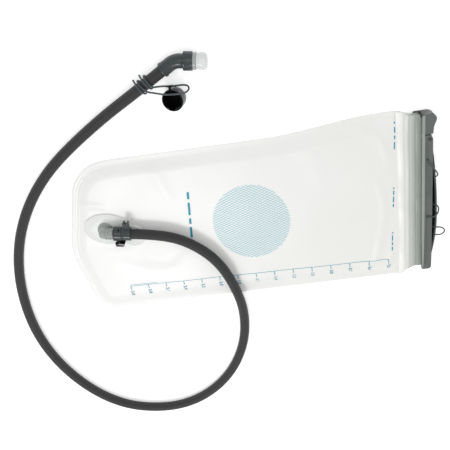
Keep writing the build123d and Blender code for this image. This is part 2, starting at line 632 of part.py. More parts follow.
def make_shutoff():
    collar = turned(COLLAR_RADIUS, STUB_LENGTH, RING_START)
    collar = fillet(collar.edges().filter_by(GeomType.CIRCLE), 0.8)
    for index in range(COLLAR_GRIPS):
        angle = 360 * index / COLLAR_GRIPS
        if abs(angle - 90) > 40:
            place = Rot(angle, 0, 0) * Pos(0, COLLAR_RADIUS + COLLAR_GRIP_RADIUS / 2, 0)
            collar -= place * turned(COLLAR_GRIP_RADIUS, STUB_LENGTH, RING_START)
    window_x = (STUB_LENGTH + 1.6, RING_START - 1.6)
    window_y = (-WINDOW_WIDTH / 2, WINDOW_WIDTH / 2)
    collar -= block(window_x, window_y, (COLLAR_RADIUS - WINDOW_DEPTH, COLLAR_RADIUS + 1))
    collar -= turned(COLLAR_BORE, STUB_LENGTH, SPIGOT_END + SOFT_GAP)
    collar -= turned(CORE_RADIUS, SPIGOT_END, RING_START)
    core_start = SPIGOT_END - CORE_LENGTH
    core = turned(CORE_RADIUS - RUNNING_GAP, core_start, RING_START)
    core -= turned(BARB_BORE, core_start + CORE_SLOT_DEPTH, RING_START)
    slot_x = (core_start, core_start + CORE_SLOT_DEPTH)
    core -= block(slot_x, (-CORE_SLOT / 2, CORE_SLOT / 2), (-CORE_RADIUS, CORE_RADIUS))
    ring = turned(RING_RADIUS, RING_START, MOUTHPIECE_START, CORE_RADIUS)
    mouthpiece_end = MOUTHPIECE_START + MOUTHPIECE_LENGTH
    mouthpiece = turned(MOUTHPIECE_RADIUS, MOUTHPIECE_START, mouthpiece_end)
    far_edges = mouthpiece.edges().filter_by(GeomType.CIRCLE).sort_by(Axis.X)[-1:]
    mouthpiece = fillet(far_edges, MOUTHPIECE_ROUND)
    inside_end = mouthpiece_end - 2 * MOUTHPIECE_WALL
    mouthpiece -= turned(MOUTHPIECE_RADIUS - 2 * MOUTHPIECE_WALL, MOUTHPIECE_START, inside_end)
    slit_y = (-SLIT_WIDTH / 2, SLIT_WIDTH / 2)
    slit_z = (-SLIT_LENGTH / 2, SLIT_LENGTH / 2)
    mouthpiece -= block((inside_end - 1, mouthpiece_end + 1), slit_y, slit_z)
    pieces = {"twist_collar": collar, "valve_core": core, "mouthpiece_ring": ring, "mouthpiece": mouthpiece}
    return {name: MOUTH * shape for name, shape in pieces.items()}


# ---- Dust cap and tether ----------------------------------------------------------
def make_dust_cap():
    cup = Pos(0, 0, CAP_HEIGHT / 2) * Cylinder(CAP_RADIUS, CAP_HEIGHT)
    cup = fillet(cup.edges().filter_by(GeomType.CIRCLE).sort_by(Axis.Z)[:1], CAP_ROUND)
    inner_radius = CAP_RADIUS - CAP_WALL
    hollow = Pos(0, 0, CAP_HEIGHT / 2 + CAP_WALL) * Cylinder(inner_radius, CAP_HEIGHT)
    hollow = fillet(hollow.edges().filter_by(GeomType.CIRCLE).sort_by(Axis.Z)[:1], CAP_ROUND - CAP_WALL)
    cup -= hollow
    stem_width, stem_length, stem_height = LUG_STEM
    bar_width, bar_depth, bar_height = LUG_BAR
    bar_y = CAP_RADIUS + stem_length
    stem_z = (CAP_HEIGHT - stem_height, CAP_HEIGHT)
    cup += block((-stem_width / 2, stem_width / 2), (CAP_RADIUS - CAP_WALL / 2, bar_y), stem_z)
    bar_z = (CAP_HEIGHT - bar_height, CAP_HEIGHT)
    cup += block((-bar_width / 2, bar_width / 2), (bar_y, bar_y + bar_depth), bar_z)
    tilt = math.radians(CAP_TILT)
    lift = (CAP_RADIUS - CAP_ROUND) * math.sin(tilt) + CAP_ROUND * (1 - math.cos(tilt))
    return {"dust_cap": Pos(CAP_X, CAP_Y, lift) * Rot(0, -CAP_TILT, 0) * cup}


def wrap_corners(start):
    """One turn round the hose as corners of an octagon, from its far side over the top."""
    corners = []
    corner_radius = WRAP_RADIUS / math.cos(math.radians(22.5))
    for index in range(WRAP_CORNERS):
        angle = math.radians(67.5 + 45 * index)
        along = start + WRAP_PITCH * index / (WRAP_CORNERS - 1)
        corners.append((along, corner_radius * math.cos(angle), corner_radius * math.sin(angle)))
    return corners


def make_tether():
    """One cord: tail, turn, strand over the cap, round its lug, back, turn and tail."""
    first_start, second_start = WRAP_STARTS
    tail = [(10.4, 0.6), (7.1, 3.0)]
    first_tail = [(first_start - 0.6, side, up) for side, up in tail]
    second_tail = [(second_start - 0.6, side, up) for side, up in reversed(tail)]
    strand_start = (first_start + WRAP_PITCH + 1.6, -5.5, STRAND_LEVEL)
    strand_end = (second_start + WRAP_PITCH + 0.4, -5.5, STRAND_LEVEL)
    on_hose_first = first_tail + wrap_corners(first_start) + [strand_start]
    on_hose_second = [strand_end] + wrap_corners(second_start)[::-1] + second_tail
    free_strand = [
        (-61.0, 161.0, 15.2),
        (-53.0, 158.2, 15.0),
        (-44.5, 157.7, 16.6),
        (-36.6, 157.4, 18.0),
        (-30.4, 157.6, 15.8),
        (-27.8, 159.8, 12.4),
        (-29.6, 162.4, 9.8),
        (-35.0, 163.2, 8.6),
        (-42.0, 163.1, 8.2),
        (-50.0, 164.4, 9.0),
        (-57.0, 166.3, 12.6),
    ]
    first = [tuple(HOSE_END.from_local_coords(point)) for point in on_hose_first]
    second = [tuple(HOSE_END.from_local_coords(point)) for point in on_hose_second]
    return {"cap_tether": cord_tube("cap_tether", first + free_strand + second, TETHER_RADIUS)}


# ---- Everything, one file for each piece ------------------------------------------
def main():
    makers = [
        make_bag, make_fold, make_slider, make_laces, make_port, make_socket, make_button,
        make_poppet, make_plug, make_hose, make_elbow, make_shutoff, make_dust_cap, make_tether,
    ]
    os.makedirs("parts", exist_ok=True)
    for make in makers:
        for name, shape in make().items():
            export_step(shape, f"parts/{name}.step")


main()
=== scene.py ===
"""Hydration bladder: the looks of every piece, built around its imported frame.

Lengths inside the classes are millimetres unless a name says otherwise, and MM turns
them into Blender's metres. +X runs from the bag's rounded bottom end to its slider.
"""
import logging
import math
from dataclasses import dataclass, field
from enum import Enum

import bpy
import numpy as np
from mathutils import Matrix, Vector


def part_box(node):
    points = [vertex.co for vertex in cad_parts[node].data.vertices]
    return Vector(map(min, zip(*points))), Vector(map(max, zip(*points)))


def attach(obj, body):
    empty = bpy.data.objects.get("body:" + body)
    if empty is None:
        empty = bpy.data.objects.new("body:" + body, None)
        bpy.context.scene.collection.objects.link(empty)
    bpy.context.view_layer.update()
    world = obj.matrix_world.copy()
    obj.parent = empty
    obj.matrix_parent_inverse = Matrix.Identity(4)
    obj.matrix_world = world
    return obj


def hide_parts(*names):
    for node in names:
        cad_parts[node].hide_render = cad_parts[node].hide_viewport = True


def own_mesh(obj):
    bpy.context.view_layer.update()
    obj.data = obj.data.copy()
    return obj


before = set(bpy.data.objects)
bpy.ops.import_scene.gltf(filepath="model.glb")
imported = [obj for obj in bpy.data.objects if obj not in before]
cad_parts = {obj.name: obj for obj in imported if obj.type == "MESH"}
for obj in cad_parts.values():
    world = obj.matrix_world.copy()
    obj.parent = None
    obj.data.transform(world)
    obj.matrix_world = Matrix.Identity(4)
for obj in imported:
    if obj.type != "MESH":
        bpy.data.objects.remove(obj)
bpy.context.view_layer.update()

LOG = logging.getLogger("bladder")
MM = 0.001
Point = tuple[float, float, float]


class Body(Enum):
    """The bodies that pieces ride on."""

    BAG = "bag"
    SLIDER = "slider"
    BUTTON = "button"
    POPPET = "poppet"
    HOSE = "hose"
    ELBOW = "bite_elbow"
    SHUTOFF = "shutoff"
    CAP = "cap"


# ---- Shared tools -------------------------------------------------------------------
def linear(hex_colour: str) -> tuple[float, float, float, float]:
    """Turn an sRGB hex colour into the linear colour that shaders take.

    Args:
        hex_colour: six hex digits, with or without a leading hash.

    Returns:
        Red, green, blue and an alpha of 1.
    """
    digits = hex_colour.lstrip("#")
    values = [int(digits[i:i + 2], 16) / 255 for i in (0, 2, 4)]
    red, green, blue = (v / 12.92 if v <= 0.04045 else ((v + 0.055) / 1.055) ** 2.4 for v in values)
    return (red, green, blue, 1.0)


def add_node(tree: bpy.types.NodeTree, kind: str, settings: dict | None = None,
             links: dict | None = None) -> bpy.types.Node:
    """Add a shader node with its settings and incoming links.

    Args:
        tree: the node tree that gets the node.
        kind: the node's type name without the leading ShaderNode.
        settings: attribute names, or input names, with their values.
        links: input names with the output socket that feeds each.

    Returns:
        The new node.
    """
    node = tree.nodes.new("ShaderNode" + kind)
    for name, value in (settings or {}).items():
        if isinstance(name, int) or name in node.inputs:
            node.inputs[name].default_value = value
        else:
            setattr(node, name, value)
    for name, socket in (links or {}).items():
        tree.links.new(socket, node.inputs[name])
    return node


def deselect() -> None:
    """Leave edit mode and clear the selection, so that an operator acts on its own piece only."""
    if bpy.context.object and bpy.context.object.mode != "OBJECT":
        bpy.ops.object.mode_set(mode="OBJECT")
    bpy.ops.object.select_all(action="DESELECT")


def focus(piece: bpy.types.Object) -> None:
    """Make a piece the only selected and active one."""
    deselect()
    piece.select_set(True)
    bpy.context.view_layer.objects.active = piece


def settle(piece: bpy.types.Object) -> None:
    """Put a piece's place, turn and scale into its mesh."""
    focus(piece)
    bpy.ops.object.transform_apply(location=True, rotation=True, scale=True)


def modify(piece: bpy.types.Object, kind: str, **settings: object) -> None:
    """Add a modifier to a piece and apply it.

    Args:
        piece: the mesh object.
        kind: the modifier's type.
        **settings: the modifier's own properties.
    """
    focus(piece)
    modifier = piece.modifiers.new(kind.title(), kind)
    for name, value in settings.items():
        setattr(modifier, name, value)
    bpy.ops.object.modifier_apply(modifier=modifier.name)


def smooth(piece: bpy.types.Object, degrees: float = 38.0) -> None:
    """Shade a piece smooth, except over edges sharper than an angle."""
    focus(piece)
    bpy.ops.object.shade_smooth_by_angle(angle=math.radians(degrees))


def dress(piece: bpy.types.Object, material: bpy.types.Material) -> None:
    """Give a piece one material all over."""
    piece.data.materials.clear()
    piece.data.materials.append(material)


def finish_piece(piece: bpy.types.Object, body: Body, material: bpy.types.Material,
                 replaced: tuple[str, ...] = ()) -> bpy.types.Object:
    """Dress a piece, put it on its body and hide the CAD nodes it stands for."""
    dress(piece, material)
    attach(piece, body.value)
    if replaced:
        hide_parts(*replaced)
    LOG.info("%s on %s, %d faces", piece.name, body.value, len(getattr(piece.data, "polygons", [])))
    return piece


def round_corner(piece: bpy.types.Object, x: float, y: float, radius: float) -> None:
    """Round the upright edges of a piece that stand at one corner.

    Args:
        piece: the mesh object.
        x: the corner's x in millimetres.
        y: the corner's y.
        radius: how far the rounding reaches.
    """
    focus(piece)
    corner = Vector((x, y)) * MM
    for edge in piece.data.edges:
        ends = [piece.data.vertices[index].co for index in edge.vertices]
        edge.select = all((end.xy - corner).length < 0.06 * MM for end in ends)
    bpy.ops.object.mode_set(mode="EDIT")
    bpy.context.tool_settings.mesh_select_mode = (False, True, False)
    bpy.ops.mesh.bevel(offset=radius * MM, segments=6, clamp_overlap=True)
    bpy.context.tool_settings.mesh_select_mode = (True, False, False)
    bpy.ops.object.mode_set(mode="OBJECT")


def refined(node: str, name: str, width: float,
            rounds: tuple[tuple[float, float, float], ...] = ()) -> bpy.types.Object:
    """A copy of a CAD node with clean faces and rounded edges.

    Args:
        node: the CAD node's name.
        name: the new piece's name.
        width: the rounding's width in millimetres.
        rounds: corners that are rounded first, each as x, y and radius.

    Returns:
        The new piece.
    """
    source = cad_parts[node]
    piece = source.copy()
    piece.data = source.data.copy()
    piece.parent = None
    piece.name = name
    for key in [key for key in piece.keys() if key.startswith("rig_")]:
        del piece[key]
    bpy.context.scene.collection.objects.link(piece)
    focus(piece)
    bpy.ops.object.mode_set(mode="EDIT")
    bpy.ops.mesh.select_all(action="SELECT")
    bpy.ops.mesh.remove_doubles(threshold=0.000004)
    bpy.ops.mesh.dissolve_limited(angle_limit=math.radians(1.2))
    bpy.ops.mesh.select_all(action="DESELECT")
    bpy.ops.object.mode_set(mode="OBJECT")
    for corner in rounds:
        round_corner(piece, *corner)
    if width:
        modify(piece, "BEVEL", width=width * MM, segments=3, limit_method="ANGLE",
               angle_limit=math.radians(32), use_clamp_overlap=True, harden_normals=False)
    smooth(piece)
    return piece


def spline_curve(points: list[Point]) -> bpy.types.Object:
    """A bare NURBS spline through a route's control points.

    Args:
        points: the route in metres.

    Returns:
        The curve object.
    """
    curve = bpy.data.curves.new("line", "CURVE")
    curve.dimensions = "3D"
    spline = curve.splines.new("NURBS")
    spline.points.add(len(points) - 1)
    for target, point in zip(spline.points, points):
        target.co = (*point, 1.0)
    spline.order_u = 3
    spline.use_endpoint_u = True
    spline.resolution_u = 12
    curve.resolution_u = 12
    piece = bpy.data.objects.new("line", curve)
    bpy.context.scene.collection.objects.link(piece)
    return piece


def spline_line(points: list[Point]) -> np.ndarray:
    """The points that a route's NURBS spline passes through, in metres."""
    bare = spline_curve(points)
    bpy.context.view_layer.update()
    mesh = bpy.data.meshes.new_from_object(bare)
    line = np.array([vertex.co[:] for vertex in mesh.vertices])
    bpy.data.meshes.remove(mesh)
    bpy.data.objects.remove(bare)
    return line


def ramp(value: np.ndarray, low: float, high: float) -> np.ndarray:
    """A smooth step from 0 at low to 1 at high."""
    share = np.clip((value - low) / (high - low), 0.0, 1.0)
    return share * share * (3.0 - 2.0 * share)


def distance_to(x: np.ndarray, y: np.ndarray, line: np.ndarray) -> np.ndarray:
    """How far each point lies from a line of straight runs, seen from above."""
    best = np.full(x.shape, 1e9)
    for (ax, ay), (bx, by) in zip(line[:-1], line[1:]):
        dx, dy = bx - ax, by - ay
        share = np.clip(((x - ax) * dx + (y - ay) * dy) / (dx * dx + dy * dy + 1e-12), 0.0, 1.0)
        best = np.minimum(best, np.hypot(x - ax - share * dx, y - ay - share * dy))
    return best


# ---- Finishes -----------------------------------------------------------------------
@dataclass(frozen=True)
class Finish:
    """A plain moulded or coated surface, with fine grain and a little colour variation."""

    name: str
    colour: str
    shade: str
    roughness: float
    grain: float = 0.25
    grain_depth: float = 0.06
    ior: float = 1.5
    transmission: float = 0.0
    metallic: float = 0.0
    sheen: float = 0.0
    subsurface: float = 0.0

    def principled(self, tree: bpy.types.NodeTree) -> bpy.types.Node:
        """The shader node with this finish's constant values."""
        shader = add_node(tree, "BsdfPrincipled", {
            "Roughness": self.roughness, "IOR": self.ior, "Metallic": self.metallic,
            "Transmission Weight": self.transmission, "Sheen Weight": self.sheen,
            "Subsurface Weight": self.subsurface,
        })
        if self.subsurface:
            shader.inputs["Subsurface Radius"].default_value = (0.004, 0.004, 0.004)
            shader.inputs["Subsurface Scale"].default_value = 1.0
        return shader

    def colours(self, tree: bpy.types.NodeTree, coordinates: bpy.types.NodeSocket) -> bpy.types.NodeSocket:
        """The surface colour, drifting slowly between the finish's two tones."""
        cloud = add_node(tree, "TexNoise", {"Scale": 60.0, "Detail": 2.0}, {"Vector": coordinates})
        mix = add_node(tree, "Mix", {"data_type": "RGBA"}, {"Factor": cloud.outputs["Fac"]})
        mix.inputs[6].default_value = linear(self.colour)
        mix.inputs[7].default_value = linear(self.shade)
        return mix.outputs[2]

    def relief(self, tree: bpy.types.NodeTree, coordinates: bpy.types.NodeSocket) -> bpy.types.NodeSocket:
        """The grain's normal, with grains of the finish's real size."""
        noise = add_node(tree, "TexNoise", {"Scale": 1.0 / (self.grain * MM), "Detail": 3.0},
                         {"Vector": coordinates})
        bump = add_node(tree, "Bump", {"Strength": 0.6, "Distance": self.grain_depth * MM},
                        {"Height": noise.outputs["Fac"]})
        return bump.outputs["Normal"]

    def coordinates(self, tree: bpy.types.NodeTree) -> bpy.types.NodeSocket:
        """Where the pattern is read: the piece's own place."""
        return add_node(tree, "TexCoord").outputs["Object"]

    def build(self) -> bpy.types.Material:
        """Make the material.

        Returns:
            A node material named for the finish.
        """
        material = bpy.data.materials.new(self.name)
        material.use_nodes = True
        tree = material.node_tree
        tree.nodes.clear()
        coordinates = self.coordinates(tree)
        shader = self.principled(tree)
        tree.links.new(self.colours(tree, coordinates), shader.inputs["Base Color"])
        tree.links.new(self.relief(tree, coordinates), shader.inputs["Normal"])
        add_node(tree, "OutputMaterial", {}, {"Surface": shader.outputs["BSDF"]})
        return material


@dataclass(frozen=True)
class FilmFinish(Finish):
    """Milky polyurethane film: pale and a little glossy, with painted shade that greys it along the bag
    towards the slider and more over the fold.
    """

    # Painted shade: the grey of the film where it runs in under the slider's lip.
    folded: str = "#A2A8A1"
    fold_start: float = 168.0
    fold_end: float = 188.0

    def colours(self, tree: bpy.types.NodeTree, coordinates: bpy.types.NodeSocket) -> bpy.types.NodeSocket:
        """Pale film with painted shade: it drifts to its greyer second tone along the bag, with a little
        random spread, and greys over the fold.
        """
        axes = add_node(tree, "SeparateXYZ", {}, {"Vector": coordinates})
        # Painted shade: the film greys along the bag towards the slider.
        along = add_node(tree, "MapRange", {
            "From Min": -0.20, "From Max": 0.17, "interpolation_type": "SMOOTHSTEP",
        }, {"Value": axes.outputs["X"]})
        cloud = add_node(tree, "TexNoise", {"Scale": 9.0, "Detail": 2.0}, {"Vector": coordinates})
        spread = add_node(tree, "MapRange", {
            "From Min": 0.3, "From Max": 0.7, "To Min": -0.25, "To Max": 0.25,
        }, {"Value": cloud.outputs["Fac"]})
        share = add_node(tree, "Math", {"operation": "ADD", "use_clamp": True},
                         {0: along.outputs["Result"], 1: spread.outputs["Result"]})
        tone = add_node(tree, "Mix", {"data_type": "RGBA"}, {"Factor": share.outputs["Value"]})
        tone.inputs[6].default_value = linear(self.colour)
        tone.inputs[7].default_value = linear(self.shade)
        # Painted shade over the fold, where the film runs in under the slider's lip.
        fold_shade_share = add_node(tree, "MapRange", {
            "From Min": self.fold_start * MM, "From Max": self.fold_end * MM,
            "interpolation_type": "SMOOTHSTEP",
        }, {"Value": axes.outputs["X"]})
        fold = add_node(tree, "Mix", {"data_type": "RGBA"}, {"Factor": fold_shade_share.outputs["Result"]})
        tree.links.new(tone.outputs[2], fold.inputs[6])
        fold.inputs[7].default_value = linear(self.folded)
        return fold.outputs[2]


@dataclass(frozen=True)
class WovenFinish(Finish):
    """Plain weave of fine polyester yarn, round a hose or a cord, read from the tube's own UV map."""

    thread: float = 0.9

    def coordinates(self, tree: bpy.types.NodeTree) -> bpy.types.NodeSocket:
        """The tube's UV map, in metres round and along it."""
        return add_node(tree, "UVMap", {"uv_map": "tube"}).outputs["UV"]

    def weave(self, tree: bpy.types.NodeTree, coordinates: bpy.types.NodeSocket) -> bpy.types.NodeSocket:
        """Height of crossing yarns, laid at half a right angle to the hose."""
        turned = add_node(tree, "Mapping", {"Rotation": (0.0, 0.0, math.radians(45))},
                          {"Vector": coordinates})
        waves = []
        for direction in ("X", "Y"):
            wave = add_node(tree, "TexWave", {
                "Scale": 0.314 / (self.thread * MM), "bands_direction": direction,
            }, {"Vector": turned.outputs["Vector"]})
            waves.append(wave.outputs["Fac"])
        return add_node(tree, "Math", {"operation": "MULTIPLY"}, {0: waves[0], 1: waves[1]}).outputs["Value"]

    def colours(self, tree: bpy.types.NodeTree, coordinates: bpy.types.NodeSocket) -> bpy.types.NodeSocket:
        """Yarn colour on the crowns and a darker tone between them: painted shade in the hollows of the
        weave.
        """
        height = self.weave(tree, coordinates)
        mix = add_node(tree, "Mix", {"data_type": "RGBA"}, {"Factor": height})
        mix.inputs[6].default_value = linear(self.shade)
        mix.inputs[7].default_value = linear(self.colour)
        return mix.outputs[2]

    def relief(self, tree: bpy.types.NodeTree, coordinates: bpy.types.NodeSocket) -> bpy.types.NodeSocket:
        """The yarns' crowns."""
        bump = add_node(tree, "Bump", {"Strength": 0.7, "Distance": self.grain_depth * MM},
                        {"Height": self.weave(tree, coordinates)})
        return bump.outputs["Normal"]


class Finishes:
    """Every material of the bladder, made once."""

    def __init__(self) -> None:
        """Build each finish's material."""
        # Polyurethane film, blown and welded: soft gloss, milky, with faint handling marks; its second tone
        # is painted shade towards the slider end, and the fold greys with painted shade.
        self.film = FilmFinish("milky_tpu_film", "#F7F7F6", "#EFEFEC", 0.34, grain=6.0, grain_depth=0.10,
                               subsurface=0.15).build()
        # Screen ink on film: flat teal.
        self.ink = Finish("teal_screen_ink", "#078CA3", "#1597AC", 0.5, grain=0.4).build()
        # The same ink printed as a fine line screen reads paler.
        self.pale_ink = Finish("pale_screen_ink", "#4FB0C0", "#66BAC8", 0.5, grain=0.4).build()
        # Glass-filled nylon, moulded with a fine satin texture: mid grey-green.
        self.bar = Finish("satin_nylon_grey", "#565C5A", "#616765", 0.34, grain=0.3, grain_depth=0.03).build()
        # The slider's body in the same nylon, darkened with painted shade for the shade that falls in its
        # hollows.
        self.frame = Finish("satin_nylon_painted_shade", "#343938", "#3E4342",
                            0.32, grain=0.3, grain_depth=0.03).build()
        # Acetal fittings: dark blue-grey, moulded smooth.
        self.fitting = Finish("moulded_acetal", "#2C3335", "#363D3F",
                              0.20, grain=0.3, grain_depth=0.02).build()
        # Soft polyethylene cap: near black, painted a lighter grey as a painted highlight for the light that
        # its rim catches.
        self.cap = Finish("soft_polyethylene_painted_highlight", "#3C4345", "#474E50",
                          0.24, grain=0.4, grain_depth=0.03).build()
        # Pale translucent polypropylene of the outlet.
        self.port = Finish("clear_polypropylene", "#F4F5F3", "#EBEDEA", 0.26, grain=0.5, grain_depth=0.02,
                           transmission=0.12, subsurface=0.15).build()
        self.neck = Finish("smoked_polypropylene", "#C6CBC8", "#AEB5B2", 0.14, grain=0.5, grain_depth=0.02,
                           transmission=0.35).build()
        # Liquid silicone mouthpiece: clear, faintly grey.
        self.silicone = Finish("clear_silicone", "#F6F8F7", "#ECEFEE", 0.16, grain=0.8, grain_depth=0.02,
                               ior=1.41, transmission=0.22).build()
        # The same nylon painted paler along the edge that the film rides over: a painted highlight where that
        # edge catches the light.
        self.edge = Finish("nylon_painted_highlight", "#8F9690", "#9AA19B", 0.36, grain=0.3, grain_depth=0.03).build()
        self.button = Finish("gloss_black_acetal", "#0C0D0E", "#141516",
                             0.14, grain=0.3, grain_depth=0.01).build()
        self.hollow = Finish("shaded_polyethylene", "#050505", "#080808", 0.75, grain=0.4, ior=1.15).build()
        self.seal = Finish("black_nitrile", "#141414", "#1C1C1C", 0.5, grain=0.3).build()
        self.steel = Finish("drawn_spring_wire", "#C8C8C6", "#B9B9B7", 0.25, metallic=1.0, grain=0.2,
                            grain_depth=0.01).build()
        # Woven polyester sleeve over the hose: charcoal with a dull sheen.
        self.knot = Finish("knotted_cord", "#2B3133", "#3A4042", 0.6, grain=0.35, grain_depth=0.08).build()
        # The cover's second tone is painted shade in the hollows between the yarns.
        self.cover = WovenFinish("woven_polyester_cover", "#3A3A3C", "#171719",
                                 0.62, grain_depth=0.16, sheen=0.08,
                                 thread=1.1).build()
        # Elastic cord with a tight braid.
        self.cord = Finish("braided_elastic_cord", "#333B3D", "#465052", 0.55, grain=0.35, grain_depth=0.08,
                           sheen=0.2).build()


# ---- Bag ----------------------------------------------------------------------------
@dataclass
class Bag:
    """The two films, the folded top and what is printed on them."""

    finishes: Finishes
    corners: tuple = ((-172.0, 94.5, 50.0), (-209.0, -14.0, 90.0), (-195.5, -101.5, 25.0))
    lower_edge: float = -98.0
    waist: tuple = (52.0, 92.0)
    spread: tuple = (138.0, 102.0)
    upper_edge: float = 101.4
    mouth: float = 168.0
    film: float = 0.5
    hem_top: float = 1.45
    crown: float = 5.1
    port: tuple = (-154.0, 12.5)
    columns: int = 300
    rows: int = 170
    outline: np.ndarray = field(init=False)

    def __post_init__(self) -> None:
        """Work out the outline once."""
        self.outline = self.rounded_outline()

    def rounded_outline(self) -> np.ndarray:
        """The bag's edge from the mouth's upper end, round the bottom end, to the mouth's lower end."""
        left = [(x, y, r) for x, y, r in self.corners]
        chain = [(self.mouth, self.upper_edge, 0.0), (*self.spread, 400.0), (*self.waist, 400.0), *left,
                 (self.mouth, self.lower_edge, 0.0)]
        points = [np.array(chain[0][:2])]
        for before, corner, after in zip(chain, chain[1:], chain[2:]):
            here = np.array(corner[:2])
            back = np.array(before[:2]) - here
            on = np.array(after[:2]) - here
            back /= np.hypot(*back)
            on /= np.hypot(*on)
            half = math.acos(float(np.clip(np.dot(back, on), -1, 1))) / 2
            reach = corner[2] / math.tan(half)
            centre = here + (back + on) / np.hypot(*(back + on)) * corner[2] / math.sin(half)
            start, end = here + back * reach - centre, here + on * reach - centre
            first = math.atan2(start[1], start[0])
            turn = (math.atan2(end[1], end[0]) - first + math.pi) % (2 * math.pi) - math.pi
            for share in np.linspace(0.0, 1.0, 24):
                angle = first + turn * share
                points.append(centre + corner[2] * np.array([math.cos(angle), math.sin(angle)]))
        points.append(np.array(chain[-1][:2]))
        return np.array(points)

    def edges_at(self, x: np.ndarray) -> tuple[np.ndarray, np.ndarray]:
        """The lower and upper edge's y at each x."""
        tip = int(np.argmin(self.outline[:, 0]))
        upper, lower = self.outline[:tip + 1][::-1], self.outline[tip:]
        return np.interp(x, lower[:, 0], lower[:, 1]), np.interp(x, upper[:, 0], upper[:, 1])

    def ridge(self, x: np.ndarray, y: np.ndarray, line: list[tuple[float, float]], height: float,
              width: float) -> np.ndarray:
        """A soft crease along a line of points, fading towards its ends."""
        points = np.array(line)
        away = distance_to(x, y, points)
        middle = points.mean(axis=0)
        reach = np.hypot(*(points[0] - points[-1])) / 2 + width
        fade = np.clip(1.15 - (np.hypot(x - middle[0], y - middle[1]) / reach) ** 2, 0.0, 1.0)
        return height * np.exp(-(away / width) ** 2) * fade

    def height(self, x: np.ndarray, y: np.ndarray) -> np.ndarray:
        """The front film's height over the floor, in millimetres."""
        inside = distance_to(x, y, self.outline)
        rise = ramp(inside, 4.0, 20.0)
        top = self.hem_top + (self.crown - self.hem_top) * rise
        waves = 0.55 * np.sin(x / 31.0 + 1.3 * np.sin(y / 43.0)) * np.cos(y / 37.0 + 0.6)
        waves += 0.30 * np.sin(x / 13.0 - y / 19.0 + 0.8) * np.sin(y / 23.0 + 1.9)
        creases = self.ridge(x, y, [(-94, 98), (-84, 70), (-76, 40)], 0.8, 7.0)
        creases += self.ridge(x, y, [(-182, 52), (-156, 42), (-141, 31), (-128, 16)], 1.7, 4.2)
        creases -= self.ridge(x, y, [(-186, 42), (-160, 31), (-146, 22)], 1.1, 5.0)
        creases += self.ridge(x, y, [(-120, -30), (-97, -38), (-76, -24)], 0.9, 9.0)
        creases += self.ridge(x, y, [(-150, -36), (-118, -52), (-84, -50)], -0.9, 8.0)
        creases += self.ridge(x, y, [(120, -92), (142, -70), (150, -30)], 1.3, 4.0)
        creases += self.ridge(x, y, [(138, -94), (158, -76), (162, -40)], 1.2, 3.0)
        creases += self.ridge(x, y, [(100, -95), (130, -84), (164, -82)], 1.1, 3.2)
        creases += self.ridge(x, y, [(128, 98), (150, 76), (164, 44)], 1.1, 4.5)
        creases += self.ridge(x, y, [(146, 30), (153, -4), (150, -34)], 0.9, 4.0)
        creases += self.ridge(x, y, [(60, 90), (84, 62), (92, 20)], 0.6, 9.0)
        creases += self.ridge(x, y, [(-30, -96), (10, -80), (60, -86)], 0.5, 7.0)
        welds = sum(0.40 * np.exp(-((inside - place) / 0.8) ** 2) for place in (2.6, 5.4, 9.0))
        welds = welds * ramp(-x, 110.0, 150.0)
        flat_for_port = ramp(np.hypot((x - self.port[0]) / 1.35, y - self.port[1]), 22.0, 36.0)
        near_mouth = ramp(self.mouth - x, 0.0, 14.0)
        return top + welds + rise * flat_for_port * near_mouth * (waves + creases + 0.5)

    def front_film(self) -> bpy.types.Object:
        """The front film: a sheet with a crowned middle, weld lines and soft creases."""
        deselect()
        bpy.ops.mesh.primitive_grid_add(x_subdivisions=self.columns, y_subdivisions=self.rows, size=2.0)
        piece = bpy.context.object
        piece.name = "front_film_sheet"
        along, across = self.grid_shares(piece)
        tip = self.outline[:, 0].min() + 0.02
        x = tip + (self.mouth - tip) * along ** 1.6
        lower, upper = self.edges_at(x)
        y = lower + (upper - lower) * across
        self.write(piece, x, y, self.height(x, y))
        self.clean(piece)
        modify(piece, "SOLIDIFY", thickness=self.film * MM, offset=-1.0)
        smooth(piece, 60)
        return finish_piece(piece, Body.BAG, self.finishes.film, ("front_film",))

    def back_film(self) -> bpy.types.Object:
        """The back film, flat on the floor but for its own soft waves."""
        deselect()
        bpy.ops.mesh.primitive_grid_add(x_subdivisions=140, y_subdivisions=80, size=2.0)
        piece = bpy.context.object
        piece.name = "back_film_sheet"
        along, across = self.grid_shares(piece)
        tip = self.outline[:, 0].min() + 0.02
        x = tip + (self.mouth - tip) * along ** 1.6
        lower, upper = self.edges_at(x)
        y = lower + (upper - lower) * across
        inside = ramp(distance_to(x, y, self.outline), 3.0, 14.0)
        wave = 0.5 + 0.5 * np.sin(x / 17.0 + y / 29.0) * np.cos(y / 21.0)
        self.write(piece, x, y, self.film + 0.1 + 0.45 * inside * wave)
        self.clean(piece)
        modify(piece, "SOLIDIFY", thickness=self.film * MM, offset=-1.0)
        smooth(piece, 60)
        return finish_piece(piece, Body.BAG, self.finishes.film, ("back_film",))

    @staticmethod
    def grid_shares(piece: bpy.types.Object) -> tuple[np.ndarray, np.ndarray]:
        """Each grid vertex's share along and across the grid, from 0 to 1."""
        places = np.zeros(len(piece.data.vertices) * 3)
        piece.data.vertices.foreach_get("co", places)
        places = places.reshape(-1, 3)
        spans = [(places[:, k] - places[:, k].min()) / np.ptp(places[:, k]) for k in (0, 1)]
        return spans[0], spans[1]

    @staticmethod
    def write(piece: bpy.types.Object, x: np.ndarray, y: np.ndarray, z: np.ndarray) -> None:
        """Move a piece's vertices to places given in millimetres."""
        piece.data.vertices.foreach_set("co", (np.stack([x, y, z], axis=1) * MM).ravel())
        piece.data.update()

